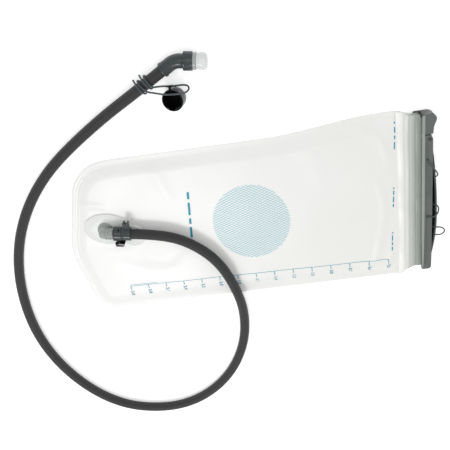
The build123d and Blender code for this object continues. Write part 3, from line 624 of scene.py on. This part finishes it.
    @staticmethod
    def clean(piece: bpy.types.Object) -> None:
        """Merge the vertices that share a place and turn the faces up."""
        focus(piece)
        bpy.ops.object.mode_set(mode="EDIT")
        bpy.ops.mesh.select_all(action="SELECT")
        bpy.ops.mesh.remove_doubles(threshold=0.00002)
        bpy.ops.mesh.normals_make_consistent(inside=False)
        bpy.ops.object.mode_set(mode="OBJECT")
        if piece.data.polygons[len(piece.data.polygons) // 2].normal.z < 0:
            bpy.ops.object.mode_set(mode="EDIT")
            bpy.ops.mesh.flip_normals()
            bpy.ops.object.mode_set(mode="OBJECT")

    def folded_top(self) -> bpy.types.Object:
        """The film's folded end: a flat roll that narrows into the slider's channel."""
        outer = [(167.0, 4.9), (170.5, 5.7), (173.4, 6.2), (174.4, 5.6), (175.4, 6.9), (178.4, 7.7),
                 (179.4, 7.2), (180.2, 8.2), (184.4, 8.5), (185.2, 8.0), (185.9, 8.7), (189.6, 8.6),
                 (192.6, 8.6), (192.8, 10.7), (196.0, 10.7), (196.0, 2.6), (188.0, 2.5), (180.6, 2.5),
                 (176.6, 0.3), (167.0, 0.3)]
        profile = np.array(outer + outer[:1])
        deselect()
        bpy.ops.mesh.primitive_grid_add(x_subdivisions=len(profile) * 4, y_subdivisions=120, size=2.0)
        piece = bpy.context.object
        piece.name = "folded_top_film"
        around, across = self.grid_shares(piece)
        steps = np.linspace(0.0, 1.0, len(profile))
        x = np.interp(around, steps, profile[:, 0])
        z = np.interp(around, steps, profile[:, 1])
        into_slider = ramp(x, 168.0, 181.0)
        low = self.lower_edge + 0.4 + 13.0 * into_slider
        high = self.upper_edge - 0.4 - 4.0 * into_slider - 4.0 * ramp(x, 189.0, 190.6)
        y = low + (high - low) * across
        top_side = ((around > 0.02) & (around < 0.57)).astype(float)
        ripple = 0.35 * np.sin(y / 6.1 + 2.0 * np.sin(y / 17.0)) + 0.3 * np.sin(y / 11.0 + x / 5.0)
        z = z + top_side * ripple * ramp(x, 167.0, 172.0) * (1.0 - ramp(x, 184.0, 189.0))
        self.write(piece, x, y, z)
        self.clean(piece)
        focus(piece)
        bpy.ops.object.mode_set(mode="EDIT")
        bpy.ops.mesh.select_all(action="DESELECT")
        bpy.ops.mesh.select_non_manifold()
        bpy.ops.mesh.fill_holes(sides=0)
        bpy.ops.mesh.select_all(action="SELECT")
        bpy.ops.mesh.normals_make_consistent(inside=False)
        bpy.ops.object.mode_set(mode="OBJECT")
        smooth(piece, 45)
        return finish_piece(piece, Body.BAG, self.finishes.film, ("folded_top",))

    def build(self) -> None:
        """Make the films, the fold and the prints."""
        front = self.front_film()
        back = self.back_film()
        self.folded_top()
        Prints(self, self.finishes).build()


@dataclass
class Prints:
    """What is screen-printed on the front film: a volume scale, a hatched patch and plain dashes."""

    bag: Bag
    finishes: Finishes
    lift: float = 0.07
    scale_start: tuple = (-149.5, -69.6)
    scale_end: tuple = (155.4, -73.5)
    ticks: int = 15

    def strip(self, start: tuple[float, float], end: tuple[float, float], width: float) -> bpy.types.Object:
        """A printed line draped on the film.

        Args:
            start: one end's x and y in millimetres.
            end: the other end's.
            width: the line's width.

        Returns:
            The strip's own object.
        """
        length = math.dist(start, end)
        deselect()
        bpy.ops.mesh.primitive_grid_add(x_subdivisions=max(2, int(length / 2.5)), y_subdivisions=2, size=2.0)
        piece = bpy.context.object
        along, across = Bag.grid_shares(piece)
        heading = (np.array(end) - np.array(start)) / length
        side = np.array([-heading[1], heading[0]])
        x = start[0] + heading[0] * length * along + side[0] * width * (across - 0.5)
        y = start[1] + heading[1] * length * along + side[1] * width * (across - 0.5)
        Bag.write(piece, x, y, self.bag.height(x, y) + self.lift)
        return piece

    def number(self, label: str, x: float, y: float, size: float) -> bpy.types.Object:
        """A printed number, turned a quarter to run across the bag."""
        deselect()
        bpy.ops.object.text_add(location=(0, 0, 0))
        piece = bpy.context.object
        piece.data.body = label
        piece.data.size = size * MM
        piece.data.offset = 0.16 * MM
        piece.data.align_x = "CENTER"
        piece.data.align_y = "CENTER"
        bpy.ops.object.convert(target="MESH")
        piece = bpy.context.object
        quarter = Matrix.Rotation(math.radians(-90), 4, "Z")
        piece.matrix_world = Matrix.Translation((x * MM, y * MM, 0)) @ quarter
        settle(piece)
        places = np.zeros(len(piece.data.vertices) * 3)
        piece.data.vertices.foreach_get("co", places)
        places = places.reshape(-1, 3) / MM
        Bag.write(piece, places[:, 0], places[:, 1], self.bag.height(places[:, 0], places[:, 1]) + self.lift)
        return piece

    def joined(self, pieces: list[bpy.types.Object], name: str,
               material: bpy.types.Material) -> bpy.types.Object:
        """Join prints into one piece with a hair's thickness."""
        focus(pieces[0])
        for piece in pieces:
            piece.select_set(True)
        bpy.ops.object.join()
        whole = bpy.context.object
        whole.name = name
        modify(whole, "SOLIDIFY", thickness=0.04 * MM, offset=-1.0)
        return finish_piece(whole, Body.BAG, material)

    def scale(self) -> bpy.types.Object:
        """The volume scale: a line, a tick for each fifth of a litre and its number."""
        start, end = np.array(self.scale_start), np.array(self.scale_end)
        pieces = [self.strip(tuple(start), tuple(end), 0.55)]
        pieces.append(self.strip((-149.5, -67.6), (-116.0, -68.3), 0.5))
        for index in range(self.ticks):
            place = start + (end - start) * index / (self.ticks - 1)
            pieces.append(self.strip((place[0], place[1] - 5.6), (place[0], place[1]), 0.85))
            label = f"{(self.ticks - index) / 5:.1f}"
            pieces.append(self.number(label, place[0] + 0.2, place[1] - 10.4, 5.4))
        return self.joined(pieces, "volume_scale_print", self.finishes.ink)

    def patch(self) -> bpy.types.Object:
        """A plain oval patch of fine slanted lines."""
        centre, half_length, half_width, count = np.array([8.0, -2.0]), 43.0, 47.0, 34
        pieces = []
        for slant in (math.radians(24), math.radians(-34)):
            heading = np.array([math.cos(slant), math.sin(slant)])
            side = np.array([-heading[1], heading[0]])
            reach = math.hypot(half_length * side[0], half_width * side[1])
            for index in range(count):
                share = 2 * (index + 0.5) / count - 1
                drift = share * np.array([half_length ** 2 * side[0], half_width ** 2 * side[1]]) / reach
                middle = centre + drift
                half = half_length * half_width / reach * math.sqrt(1 - share ** 2)
                start, end = middle - heading * half, middle + heading * half
                pieces.append(self.strip(tuple(start), tuple(end), 0.42))
        return self.joined(pieces, "hatched_patch_print", self.finishes.pale_ink)

    def dashes(self) -> bpy.types.Object:
        """Plain dashes where labels usually stand."""
        columns = [((-54.5, 46.0), (-62.0, -12.0), 2.6, (9.0, 16.0, 7.0, 14.0)),
                   ((166.0, 91.0), (165.0, 62.0), 1.3, (2.0, 6.0, 4.0, 8.0)),
                   ((163.5, 18.0), (162.5, -6.0), 1.3, (2.0, 5.0, 7.0, 4.0)),
                   ((161.0, -38.0), (160.0, -62.0), 1.3, (2.0, 7.0, 4.0, 5.0))]
        pieces = []
        for start, end, width, lengths in columns:
            heading = (np.array(end) - np.array(start)) / math.dist(start, end)
            place = np.array(start)
            gap = (math.dist(start, end) - sum(lengths)) / (len(lengths) - 1)
            for length in lengths:
                pieces.append(self.strip(tuple(place), tuple(place + heading * length), width))
                place = place + heading * (length + gap)
        return self.joined(pieces, "plain_dash_prints", self.finishes.ink)

    def build(self) -> None:
        """Make all the prints."""
        self.scale()
        self.patch()
        self.dashes()


# ---- Slider -------------------------------------------------------------------------
@dataclass
class Slider:
    """The slide-off closure: body with its bow, front bar with its head and ridges, and pin; the lace and
    hanging loop are made with the cords.
    """

    finishes: Finishes

    def build(self) -> None:
        """Make the slider's pieces."""
        body_ends = ((201.6, -87.5, 4.0), (180.0, -87.5, 2.0))
        # The body wears the nylon darkened with painted shade.
        body = refined("slider_frame", "slider_body", 0.5, rounds=body_ends)
        finish_piece(body, Body.SLIDER, self.finishes.frame, ("slider_frame",))
        bar_ends = ((201.0, -87.5, 3.8), (190.7, -87.5, 1.5))
        bar = refined("slider_bar", "slider_front_bar", 0.6, rounds=bar_ends)
        finish_piece(bar, Body.SLIDER, self.finishes.bar, ("slider_bar",))
        self.head()
        self.painted_highlight_band()
        self.ridges()
        pin = refined("bar_pin", "slider_bar_pin", 0.25)
        finish_piece(pin, Body.SLIDER, self.finishes.frame, ("bar_pin",))

    def plate(self, name: str, outline: list[tuple[float, float]], low: float, high: float, rounding: float,
              material: bpy.types.Material) -> bpy.types.Object:
        """A flat plate with a smooth outline, given by points round it.

        Args:
            name: the piece's name.
            outline: its corners in millimetres, in order.
            low: the height of its underside.
            high: the height of its top.
            rounding: how far its edges are rounded.
            material: its finish.

        Returns:
            The plate, on the slider's body.
        """
        closed = outline[-1:] + outline + outline[:2]
        smooth_line = []
        for before, here, after in zip(closed, closed[1:], closed[2:]):
            for share in (-0.4, -0.2, 0.0, 0.2, 0.4):
                side = before if share < 0 else after
                mid = [(side[k] - here[k]) * abs(share) + here[k] for k in (0, 1)]
                pull = 0.5 * (0.5 - abs(share)) ** 2
                smooth_line.append([mid[k] + pull * (before[k] + after[k] - 2 * here[k]) for k in (0, 1)])
        count = len(smooth_line) - 5
        deselect()
        bpy.ops.mesh.primitive_cylinder_add(vertices=count, radius=1.0, depth=2.0)
        piece = bpy.context.object
        piece.name = name
        ring = np.array(smooth_line[:count])
        if np.sum(ring[:, 0] * np.roll(ring[:, 1], -1) - ring[:, 1] * np.roll(ring[:, 0], -1)) < 0:
            ring = ring[::-1]
        for vertex in piece.data.vertices:
            turn = (math.atan2(vertex.co.x, vertex.co.y) / (2 * math.pi)) % 1.0
            x, y = ring[-round(turn * count) % count]
            vertex.co = Vector((x, y, high if vertex.co.z > 0 else low)) * MM
        modify(piece, "BEVEL", width=rounding * MM, segments=4, limit_method="ANGLE",
               angle_limit=math.radians(50))
        smooth(piece, 40)
        return finish_piece(piece, Body.SLIDER, material)

    def head(self) -> bpy.types.Object:
        """The high end of the slider: the bar's line runs on into a rounded knob."""
        outline = [(190.5, 76.7), (190.5, 84.0), (190.5, 94.0), (191.0, 97.2), (193.4, 98.3),
                   (198.2, 98.2), (202.0, 97.0), (204.3, 94.4), (204.5, 91.2), (203.3, 88.2),
                   (202.0, 85.4), (201.4, 81.5), (201.4, 76.7)]
        return self.plate("slider_head_cover", outline, 10.2, 14.1, 0.8, self.finishes.bar)

    def painted_highlight_band(self) -> bpy.types.Object:
        """A painted highlight: the paler strip along the edge that the film comes out under, where that edge
        catches the light.
        """
        outline = [(190.2, -87.3), (190.2, 96.0), (190.9, 97.4), (193.0, 97.4), (193.2, 96.0), (193.2, -87.3)]
        return self.plate("slider_painted_highlight_band", outline, 13.2, 14.3, 0.35, self.finishes.edge)

    def ridges(self) -> bpy.types.Object:
        """Two long beads and a row of short grip ribs on the front bar."""
        low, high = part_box("slider_bar")
        places = []
        for x in (low.x + 0.0037, low.x + 0.0052):
            middle = (x, (low.y + high.y) / 2 - 0.001, high.z)
            places.append((middle, (0.0009, high.y - low.y - 0.014, 0.0008)))
        for index in range(9):
            y = 0.008 + index * 0.0026
            places.append(((low.x + 0.0072, y, high.z), (0.0032, 0.0011, 0.0008)))
        pieces = []
        for centre, size in places:
            deselect()
            bpy.ops.mesh.primitive_cube_add(size=1.0, location=centre, scale=size)
            piece = bpy.context.object
            settle(piece)
            modify(piece, "BEVEL", width=0.00032, segments=3)
            pieces.append(piece)
        focus(pieces[0])
        for piece in pieces:
            piece.select_set(True)
        bpy.ops.object.join()
        whole = bpy.context.object
        whole.name = "slider_bar_ridges"
        smooth(whole)
        return finish_piece(whole, Body.SLIDER, self.finishes.bar)


# ---- Outlet -------------------------------------------------------------------------
@dataclass
class Outlet:
    """The welded flange, its neck, the push-button socket and the plug."""

    finishes: Finishes

    def build(self) -> None:
        """Make the outlet's pieces."""
        pieces = (
            ("port_flange", "outlet_flange", 0.7, Body.BAG, "port", self.finishes.port),
            ("port_neck", "outlet_neck", 0.3, Body.BAG, "port", self.finishes.neck),
            ("socket_body", "outlet_socket", 0.3, Body.BAG, "grey_plastic", self.finishes.fitting),
            ("release_button", "outlet_button", 0.35, Body.BUTTON, "button", self.finishes.button),
            ("plug_body", "hose_plug", 0.3, Body.HOSE, "grey_plastic", self.finishes.fitting),
        )
        for node, name, width, body, slot, material in pieces:
            finish_piece(refined(node, name, width), body, material, (node,))


# ---- Bite valve and cap --------------------------------------------------------------
@dataclass
class BiteValve:
    """The elbow, the twist collar, the mouthpiece's ring, the silicone mouthpiece and the dust cap; the
    collar's core keeps its CAD shape with the hidden pieces.
    """

    finishes: Finishes
    knee: Point = (-37.421, 187.052, 9.2)
    mouth_turn: float = -10.0
    cap_centre: tuple = (-44.0, 150.7)
    cap_tilt: float = 12.0

    def build(self) -> None:
        """Make the valve's pieces."""
        pieces = (
            ("elbow_body", "valve_elbow", 0.4, Body.ELBOW, "grey_plastic", self.finishes.fitting),
            ("twist_collar", "valve_collar", 0.3, Body.SHUTOFF, "collar", self.finishes.fitting),
            ("mouthpiece_ring", "valve_ring", 0.4, Body.SHUTOFF, "port", self.finishes.neck),
            ("dust_cap", "valve_dust_cap", 0.4, Body.CAP, "cap", self.finishes.cap),
        )
        for node, name, width, body, slot, material in pieces:
            finish_piece(refined(node, name, width), body, material, (node,))
        self.mouthpiece()
        self.darken_cap()

    def mouthpiece(self) -> bpy.types.Object:
        """The soft mouthpiece: a rounded dome with a shallow waist where it meets its ring."""
        profile = np.array([(21.25, 6.2), (21.3, 7.5), (22.6, 7.6), (24.4, 8.1), (27.4, 8.3), (29.6, 8.0),
                            (31.0, 7.0), (31.9, 5.4), (32.2, 3.2), (32.0, 1.4), (31.8, 0.02)])
        deselect()
        bpy.ops.mesh.primitive_grid_add(x_subdivisions=60, y_subdivisions=48, size=2.0)
        piece = bpy.context.object
        piece.name = "valve_mouthpiece"
        along, around = Bag.grid_shares(piece)
        steps = np.linspace(0.0, 1.0, len(profile))
        reach = np.interp(along, steps, profile[:, 0])
        radius = np.interp(along, steps, profile[:, 1])
        turn = math.radians(self.mouth_turn)
        side, up = radius * np.cos(around * 2 * math.pi), radius * np.sin(around * 2 * math.pi)
        x = self.knee[0] + reach * math.cos(turn) - side * math.sin(turn)
        y = self.knee[1] + reach * math.sin(turn) + side * math.cos(turn)
        Bag.write(piece, x, y, self.knee[2] + up)
        focus(piece)
        bpy.ops.object.mode_set(mode="EDIT")
        bpy.ops.mesh.select_all(action="SELECT")
        bpy.ops.mesh.remove_doubles(threshold=0.00003)
        bpy.ops.mesh.normals_make_consistent(inside=False)
        bpy.ops.mesh.vertices_smooth(factor=0.5, repeat=2)
        bpy.ops.object.mode_set(mode="OBJECT")
        modify(piece, "SOLIDIFY", thickness=1.5 * MM, offset=-1.0)
        smooth(piece, 60)
        return finish_piece(piece, Body.SHUTOFF, self.finishes.silicone, ("mouthpiece",))

    def darken_cap(self) -> None:
        """Give the cap's hollow its shaded finish."""
        piece = bpy.data.objects["valve_dust_cap"]
        piece.data.materials.append(self.finishes.hollow)
        axis = Vector((-math.sin(math.radians(self.cap_tilt)), 0.0, math.cos(math.radians(self.cap_tilt))))
        foot = Vector((*self.cap_centre, 0.0)) * MM
        for polygon in piece.data.polygons:
            spot = piece.matrix_world @ polygon.center - foot
            along = spot.dot(axis)
            if (spot - along * axis).length < 9.33 * MM and along > 2.0 * MM:
                polygon.material_index = 1


# ---- Cords --------------------------------------------------------------------------
@dataclass
class Hose:
    """The drinking tube in its woven cover, from the plug to the bite valve."""

    finishes: Finishes
    route: tuple = (
        (-0.1262660, 0.0086981, 0.0156), (-0.0947049, 0.0034165, 0.0156), (-0.064, -0.011, 0.0155),
        (-0.037, -0.040, 0.0154), (-0.023, -0.080, 0.0150), (-0.019, -0.129, 0.00595),
        (-0.028, -0.180, 0.00595), (-0.053, -0.228, 0.00595), (-0.091, -0.264, 0.00595),
        (-0.135, -0.282, 0.00595), (-0.182, -0.280, 0.00595), (-0.220, -0.264, 0.00595),
        (-0.251, -0.233, 0.00595), (-0.274, -0.193, 0.00595), (-0.287, -0.151, 0.00595),
        (-0.291, -0.107, 0.00595), (-0.286, -0.059, 0.00595), (-0.274, -0.015, 0.00595),
        (-0.256, 0.024, 0.00595), (-0.232, 0.059, 0.00595), (-0.202, 0.090, 0.00595),
        (-0.168, 0.115, 0.00595), (-0.121, 0.143, 0.00595), (-0.0799880, 0.1642277, 0.0092),
        (-0.0502, 0.1802, 0.0092),
    )
    cover_radius: float = 5.75

    def tube(self, name: str, radius: float, line: np.ndarray, sides: int) -> bpy.types.Object:
        """A closed tube along a line, with a UV map in metres round and along it.

        Args:
            name: the piece's name.
            radius: its radius in millimetres.
            line: the points it follows, in metres.
            sides: how many faces go round it.

        Returns:
            The tube.
        """
        deselect()
        bpy.ops.mesh.primitive_grid_add(x_subdivisions=len(line) - 1, y_subdivisions=sides, size=2.0)
        piece = bpy.context.object
        piece.name = name
        along, around = Bag.grid_shares(piece)
        steps = np.rint(along * (len(line) - 1)).astype(int)
        tangent = np.gradient(line, axis=0)
        tangent /= np.linalg.norm(tangent, axis=1)[:, None]
        side = np.cross(tangent, [0.0, 0.0, 1.0])
        side /= np.linalg.norm(side, axis=1)[:, None]
        up = np.cross(side, tangent)
        angle = around * 2 * math.pi
        offset = side[steps] * np.cos(angle)[:, None] + up[steps] * np.sin(angle)[:, None]
        places = line[steps] + offset * radius * MM
        run = np.concatenate([[0.0], np.cumsum(np.linalg.norm(np.diff(line, axis=0), axis=1))])
        layer = piece.data.uv_layers.active or piece.data.uv_layers.new()
        layer.name = "tube"
        corners = np.zeros(len(piece.data.loops), int)
        piece.data.loops.foreach_get("vertex_index", corners)
        round_way = around[corners] * 2 * math.pi * radius * MM
        layer.data.foreach_set("uv", np.stack([round_way, run[steps[corners]]], axis=1).ravel())
        piece.data.vertices.foreach_set("co", places.ravel())
        piece.data.update()
        focus(piece)
        bpy.ops.object.mode_set(mode="EDIT")
        bpy.ops.mesh.select_all(action="SELECT")
        bpy.ops.mesh.remove_doubles(threshold=0.000005)
        bpy.ops.mesh.select_all(action="DESELECT")
        bpy.ops.mesh.select_non_manifold()
        bpy.ops.mesh.fill_holes(sides=0)
        bpy.ops.mesh.select_all(action="SELECT")
        bpy.ops.mesh.normals_make_consistent(inside=False)
        bpy.ops.object.mode_set(mode="OBJECT")
        smooth(piece, 50)
        return piece

    def build(self) -> None:
        """Make the cover, which stands for the cover's node and the tube's node inside it."""
        line = spline_line(list(self.route))
        line[0], line[-1] = np.array(self.route[0]), np.array(self.route[-1])
        cover = self.tube("hose_woven_cover", self.cover_radius, line, 40)
        finish_piece(cover, Body.HOSE, self.finishes.cover, ("hose_cover", "drink_tube"))


@dataclass
class Cords:
    """The slider's lace, its hanging loop, and the cap's tether with the coils that bind it."""

    finishes: Finishes
    lace: tuple = (
        (0.1956, 0.0496, 0.0147), (0.1992, 0.0436, 0.0147), (0.2026, 0.0380, 0.0141),
        (0.2058, 0.0326, 0.0125),
        (0.2076, 0.0290, 0.0094), (0.2074, 0.0256, 0.0068), (0.2027, 0.0248, 0.0065),
        (0.2009, 0.0180, 0.0066),
        (0.2022, 0.0070, 0.0066), (0.2018, -0.0036, 0.0065), (0.2039, -0.0087, 0.0066),
        (0.2086, -0.0096, 0.0070),
        (0.2092, -0.0134, 0.0100), (0.2066, -0.0168, 0.0129), (0.2020, -0.0194, 0.0147),
        (0.1962, -0.0176, 0.0148),
    )
    loop: tuple = (
        (0.2016, -0.0290, 0.0066), (0.2018, -0.0330, 0.0065), (0.2034, -0.0368, 0.0066),
        (0.2076, -0.0370, 0.0067),
        (0.2128, -0.0380, 0.0066), (0.2168, -0.0412, 0.0068), (0.2160, -0.0456, 0.0066),
        (0.2120, -0.0478, 0.0067),
        (0.2074, -0.0470, 0.0066), (0.2032, -0.0474, 0.0065), (0.2009, -0.0520, 0.0066),
    )
    strand: tuple = (
        (-61.0, 161.0, 15.2), (-53.0, 158.2, 15.0), (-44.5, 157.7, 16.6),
        (-36.6, 157.4, 18.0), (-30.4, 157.6, 15.8),
        (-27.8, 159.8, 12.4), (-29.6, 162.4, 9.8), (-35.0, 163.2, 8.6),
        (-42.0, 163.1, 8.2), (-50.0, 164.4, 9.0),
        (-57.0, 166.3, 12.6),
    )
    hose_end: Point = (-50.2, 180.2, 9.2)
    hose_turn: float = 28.2
    cord_diameter: float = 1.4
    tether_diameter: float = 1.8
    knot_radius: float = 1.1
    wrap_radius: float = 7.1
    pitch: float = 2.6

    def from_hose(self, along: float, side: float, up: float) -> Point:
        """A place given along, beside and above the hose's end, in metres of the shared frame."""
        turn = math.radians(self.hose_turn)
        x = self.hose_end[0] + along * math.cos(turn) - side * math.sin(turn)
        y = self.hose_end[1] + along * math.sin(turn) + side * math.cos(turn)
        return (x * MM, y * MM, (self.hose_end[2] + up) * MM)

    def coil(self, start: float) -> list[Point]:
        """One turn of the tether round the hose, from a place along it."""
        radius = self.wrap_radius / math.cos(math.radians(22.5))
        corners = []
        for index in range(9):
            angle = math.radians(67.5 + 45 * index)
            side, up = radius * math.cos(angle), radius * math.sin(angle)
            corners.append(self.from_hose(start + self.pitch * index / 8, side, up))
        return corners

    def tether(self) -> list[Point]:
        """The tether's whole route, from one tail round the hose, through the cap's lug and back."""
        first = [self.from_hose(-29.1, 10.4, 0.6), self.from_hose(-29.1, 7.1, 3.0), *self.coil(-28.5)]
        middle = [tuple(value * MM for value in point) for point in self.strand]
        last = [*self.coil(-20.5)[::-1], self.from_hose(-21.1, 7.1, 3.0), self.from_hose(-21.1, 10.4, 0.6)]
        return [*first, self.from_hose(-24.3, -5.5, 7.2), *middle, self.from_hose(-17.5, -5.5, 7.2), *last]

    def cord(self, name: str, node: str, body: Body, slot: str, points: list[Point], diameter: float,
             stiffness: str, far_end: str, knotted: bool) -> None:
        """Args:
            name: the piece's name.
            node: the CAD node that it stands for.
            body: the body that it rides on.
            slot: its material slot; not used.
            points: its route in metres.
            diameter: its thickness in millimetres.
            stiffness: how it bends; not used.
            far_end: what is at its far end; not used.
            knotted: whether it ends in knots.
        """
        line = spline_line(points)
        piece = Hose(self.finishes).tube(name, diameter / 2, line, 14)
        finish_piece(piece, body, self.finishes.cord, (node,))
        if knotted:
            for index, point in enumerate((points[0], points[-1])):
                deselect()
                bpy.ops.mesh.primitive_uv_sphere_add(segments=20, ring_count=12,
                                                     radius=self.knot_radius * MM, location=point)
                knot = bpy.context.object
                knot.name = f"{name}_knot_{index + 1}"
                settle(knot)
                smooth(knot, 60)
                finish_piece(knot, body, self.finishes.knot)

    def build(self) -> None:
        """Make the three cords."""
        self.cord("slider_lace_cord", "slider_lace", Body.SLIDER, "lace", list(self.lace), self.cord_diameter,
                  "limp", "knot", True)
        self.cord("hanging_loop_cord", "hang_loop", Body.SLIDER, "lace", list(self.loop), self.cord_diameter,
                  "limp", "knot", True)
        self.cord("cap_tether_cord", "cap_tether", Body.HOSE, "lace", self.tether(), self.tether_diameter,
                  "limp", "bare", False)


# ---- Hidden works -------------------------------------------------------------------
@dataclass
class Inside:
    """The hidden pieces that keep their CAD shape and only get a finish."""

    finishes: Finishes
    port_turn: float = -9.5
    spring_foot: Point = (-0.143727, 0.005537, 0.0156)
    spring_keep: float = 0.774

    def build(self) -> None:
        """Give every carried-over CAD node its material."""
        kept = {
            "closure_bead": self.finishes.port, "socket_seal": self.finishes.seal,
            "shutoff_poppet": self.finishes.port, "poppet_spring": self.finishes.steel,
            "button_spring": self.finishes.steel, "valve_seals": self.finishes.seal,
            "valve_core": self.finishes.port,
        }
        for node, material in kept.items():
            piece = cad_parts[node]
            dress(piece, material)
            LOG.info("kept %s", node)
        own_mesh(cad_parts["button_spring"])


# ---- Studio -------------------------------------------------------------------------
@dataclass
class Studio:
    """The white table, the lights and the camera."""

    camera_place: Point = (57.3, 313.3, 538.8)
    look_at: Point = (-22.5, -4.4, 0.0)
    roll: float = 4.8
    lens: float = 44.64

    def camera(self) -> None:
        """Look down on the bladder from beyond its upper edge."""
        place, target = Vector(self.camera_place) * MM, Vector(self.look_at) * MM
        back = (place - target).normalized()
        level = back.cross(Vector((0.0, 0.0, 1.0))).normalized()
        rise = back.cross(level)
        turn = math.radians(self.roll)
        right = math.cos(turn) * level + math.sin(turn) * rise
        up = -math.sin(turn) * level + math.cos(turn) * rise
        data = bpy.data.cameras.new("main_camera")
        data.lens, data.sensor_width = self.lens, 36.0
        camera = bpy.data.objects.new("main_camera", data)
        bpy.context.scene.collection.objects.link(camera)
        matrix = Matrix((right, up, back)).transposed().to_4x4()
        matrix.translation = place
        camera.matrix_world = matrix
        bpy.context.scene.camera = camera

    def area_light(self, name: str, place: Point, size: tuple[float, float], watts: float) -> None:
        """A soft light aimed at the bag.

        Args:
            name: the light's name.
            place: where it hangs, in metres.
            size: its two sides in metres.
            watts: its power.
        """
        data = bpy.data.lights.new(name, "AREA")
        data.shape, data.size, data.size_y, data.energy = "RECTANGLE", size[0], size[1], watts
        light = bpy.data.objects.new(name, data)
        bpy.context.scene.collection.objects.link(light)
        light.location = place
        light.rotation_euler = (Vector((0, 0, 0)) - Vector(place)).to_track_quat("-Z", "Y").to_euler()

    def floor(self) -> None:
        """A white table that keeps the object's soft shadow."""
        deselect()
        bpy.ops.mesh.primitive_plane_add(size=6.0, location=(0, 0, 0))
        floor = bpy.context.object
        floor.name = "white_table"
        material = bpy.data.materials.new("white_table")
        material.use_nodes = True
        tree = material.node_tree
        tree.nodes.clear()
        rays = add_node(tree, "LightPath")
        seen = add_node(tree, "Math", {"operation": "MAXIMUM"},
                        {0: rays.outputs["Is Camera Ray"], 1: rays.outputs["Is Glossy Ray"]})
        either = add_node(tree, "Math", {"operation": "MAXIMUM"},
                          {0: seen.outputs["Value"], 1: rays.outputs["Is Transmission Ray"]})
        diffuse = add_node(tree, "BsdfDiffuse", {"Color": (0.9, 0.9, 0.9, 1.0)})
        glow = add_node(tree, "Emission", {"Color": (1.0, 1.0, 1.0, 1.0)})
        lift = add_node(tree, "Math", {"operation": "MULTIPLY", 1: 0.4}, {0: either.outputs["Value"]})
        tree.links.new(lift.outputs["Value"], glow.inputs["Strength"])
        both = add_node(tree, "AddShader", {}, {0: diffuse.outputs["BSDF"], 1: glow.outputs["Emission"]})
        add_node(tree, "OutputMaterial", {}, {"Surface": both.outputs["Shader"]})
        dress(floor, material)

    def world(self) -> None:
        """Even white light from all round."""
        world = bpy.data.worlds.new("white_room")
        world.use_nodes = True
        tree = world.node_tree
        tree.nodes.clear()
        seen = add_node(tree, "LightPath").outputs["Is Camera Ray"]
        level = add_node(tree, "MapRange", {"To Min": 0.80, "To Max": 1.0}, {"Value": seen})
        sky = add_node(tree, "Background", {"Color": (1.0, 1.0, 1.0, 1.0)},
                       {"Strength": level.outputs["Result"]})
        add_node(tree, "OutputWorld", {}, {"Surface": sky.outputs["Background"]})
        bpy.context.scene.world = world

    def build(self) -> None:
        """Set the table, the lights and the camera."""
        self.world()
        self.floor()
        self.area_light("key_light", (-0.35, -0.55, 0.95), (0.45, 0.25), 2.9)
        self.area_light("fill_light", (0.3, 0.5, 1.1), (0.9, 0.5), 1.6)
        self.camera()
        bpy.context.scene.view_settings.view_transform = "Standard"


def main() -> None:
    logging.basicConfig(level=logging.INFO, format="%(message)s")
    finishes = Finishes()
    Bag(finishes).build()
    Slider(finishes).build()
    Outlet(finishes).build()
    BiteValve(finishes).build()
    Hose(finishes).build()
    Cords(finishes).build()
    Inside(finishes).build()
    Studio().build()


if __name__ == "__main__":
    main()
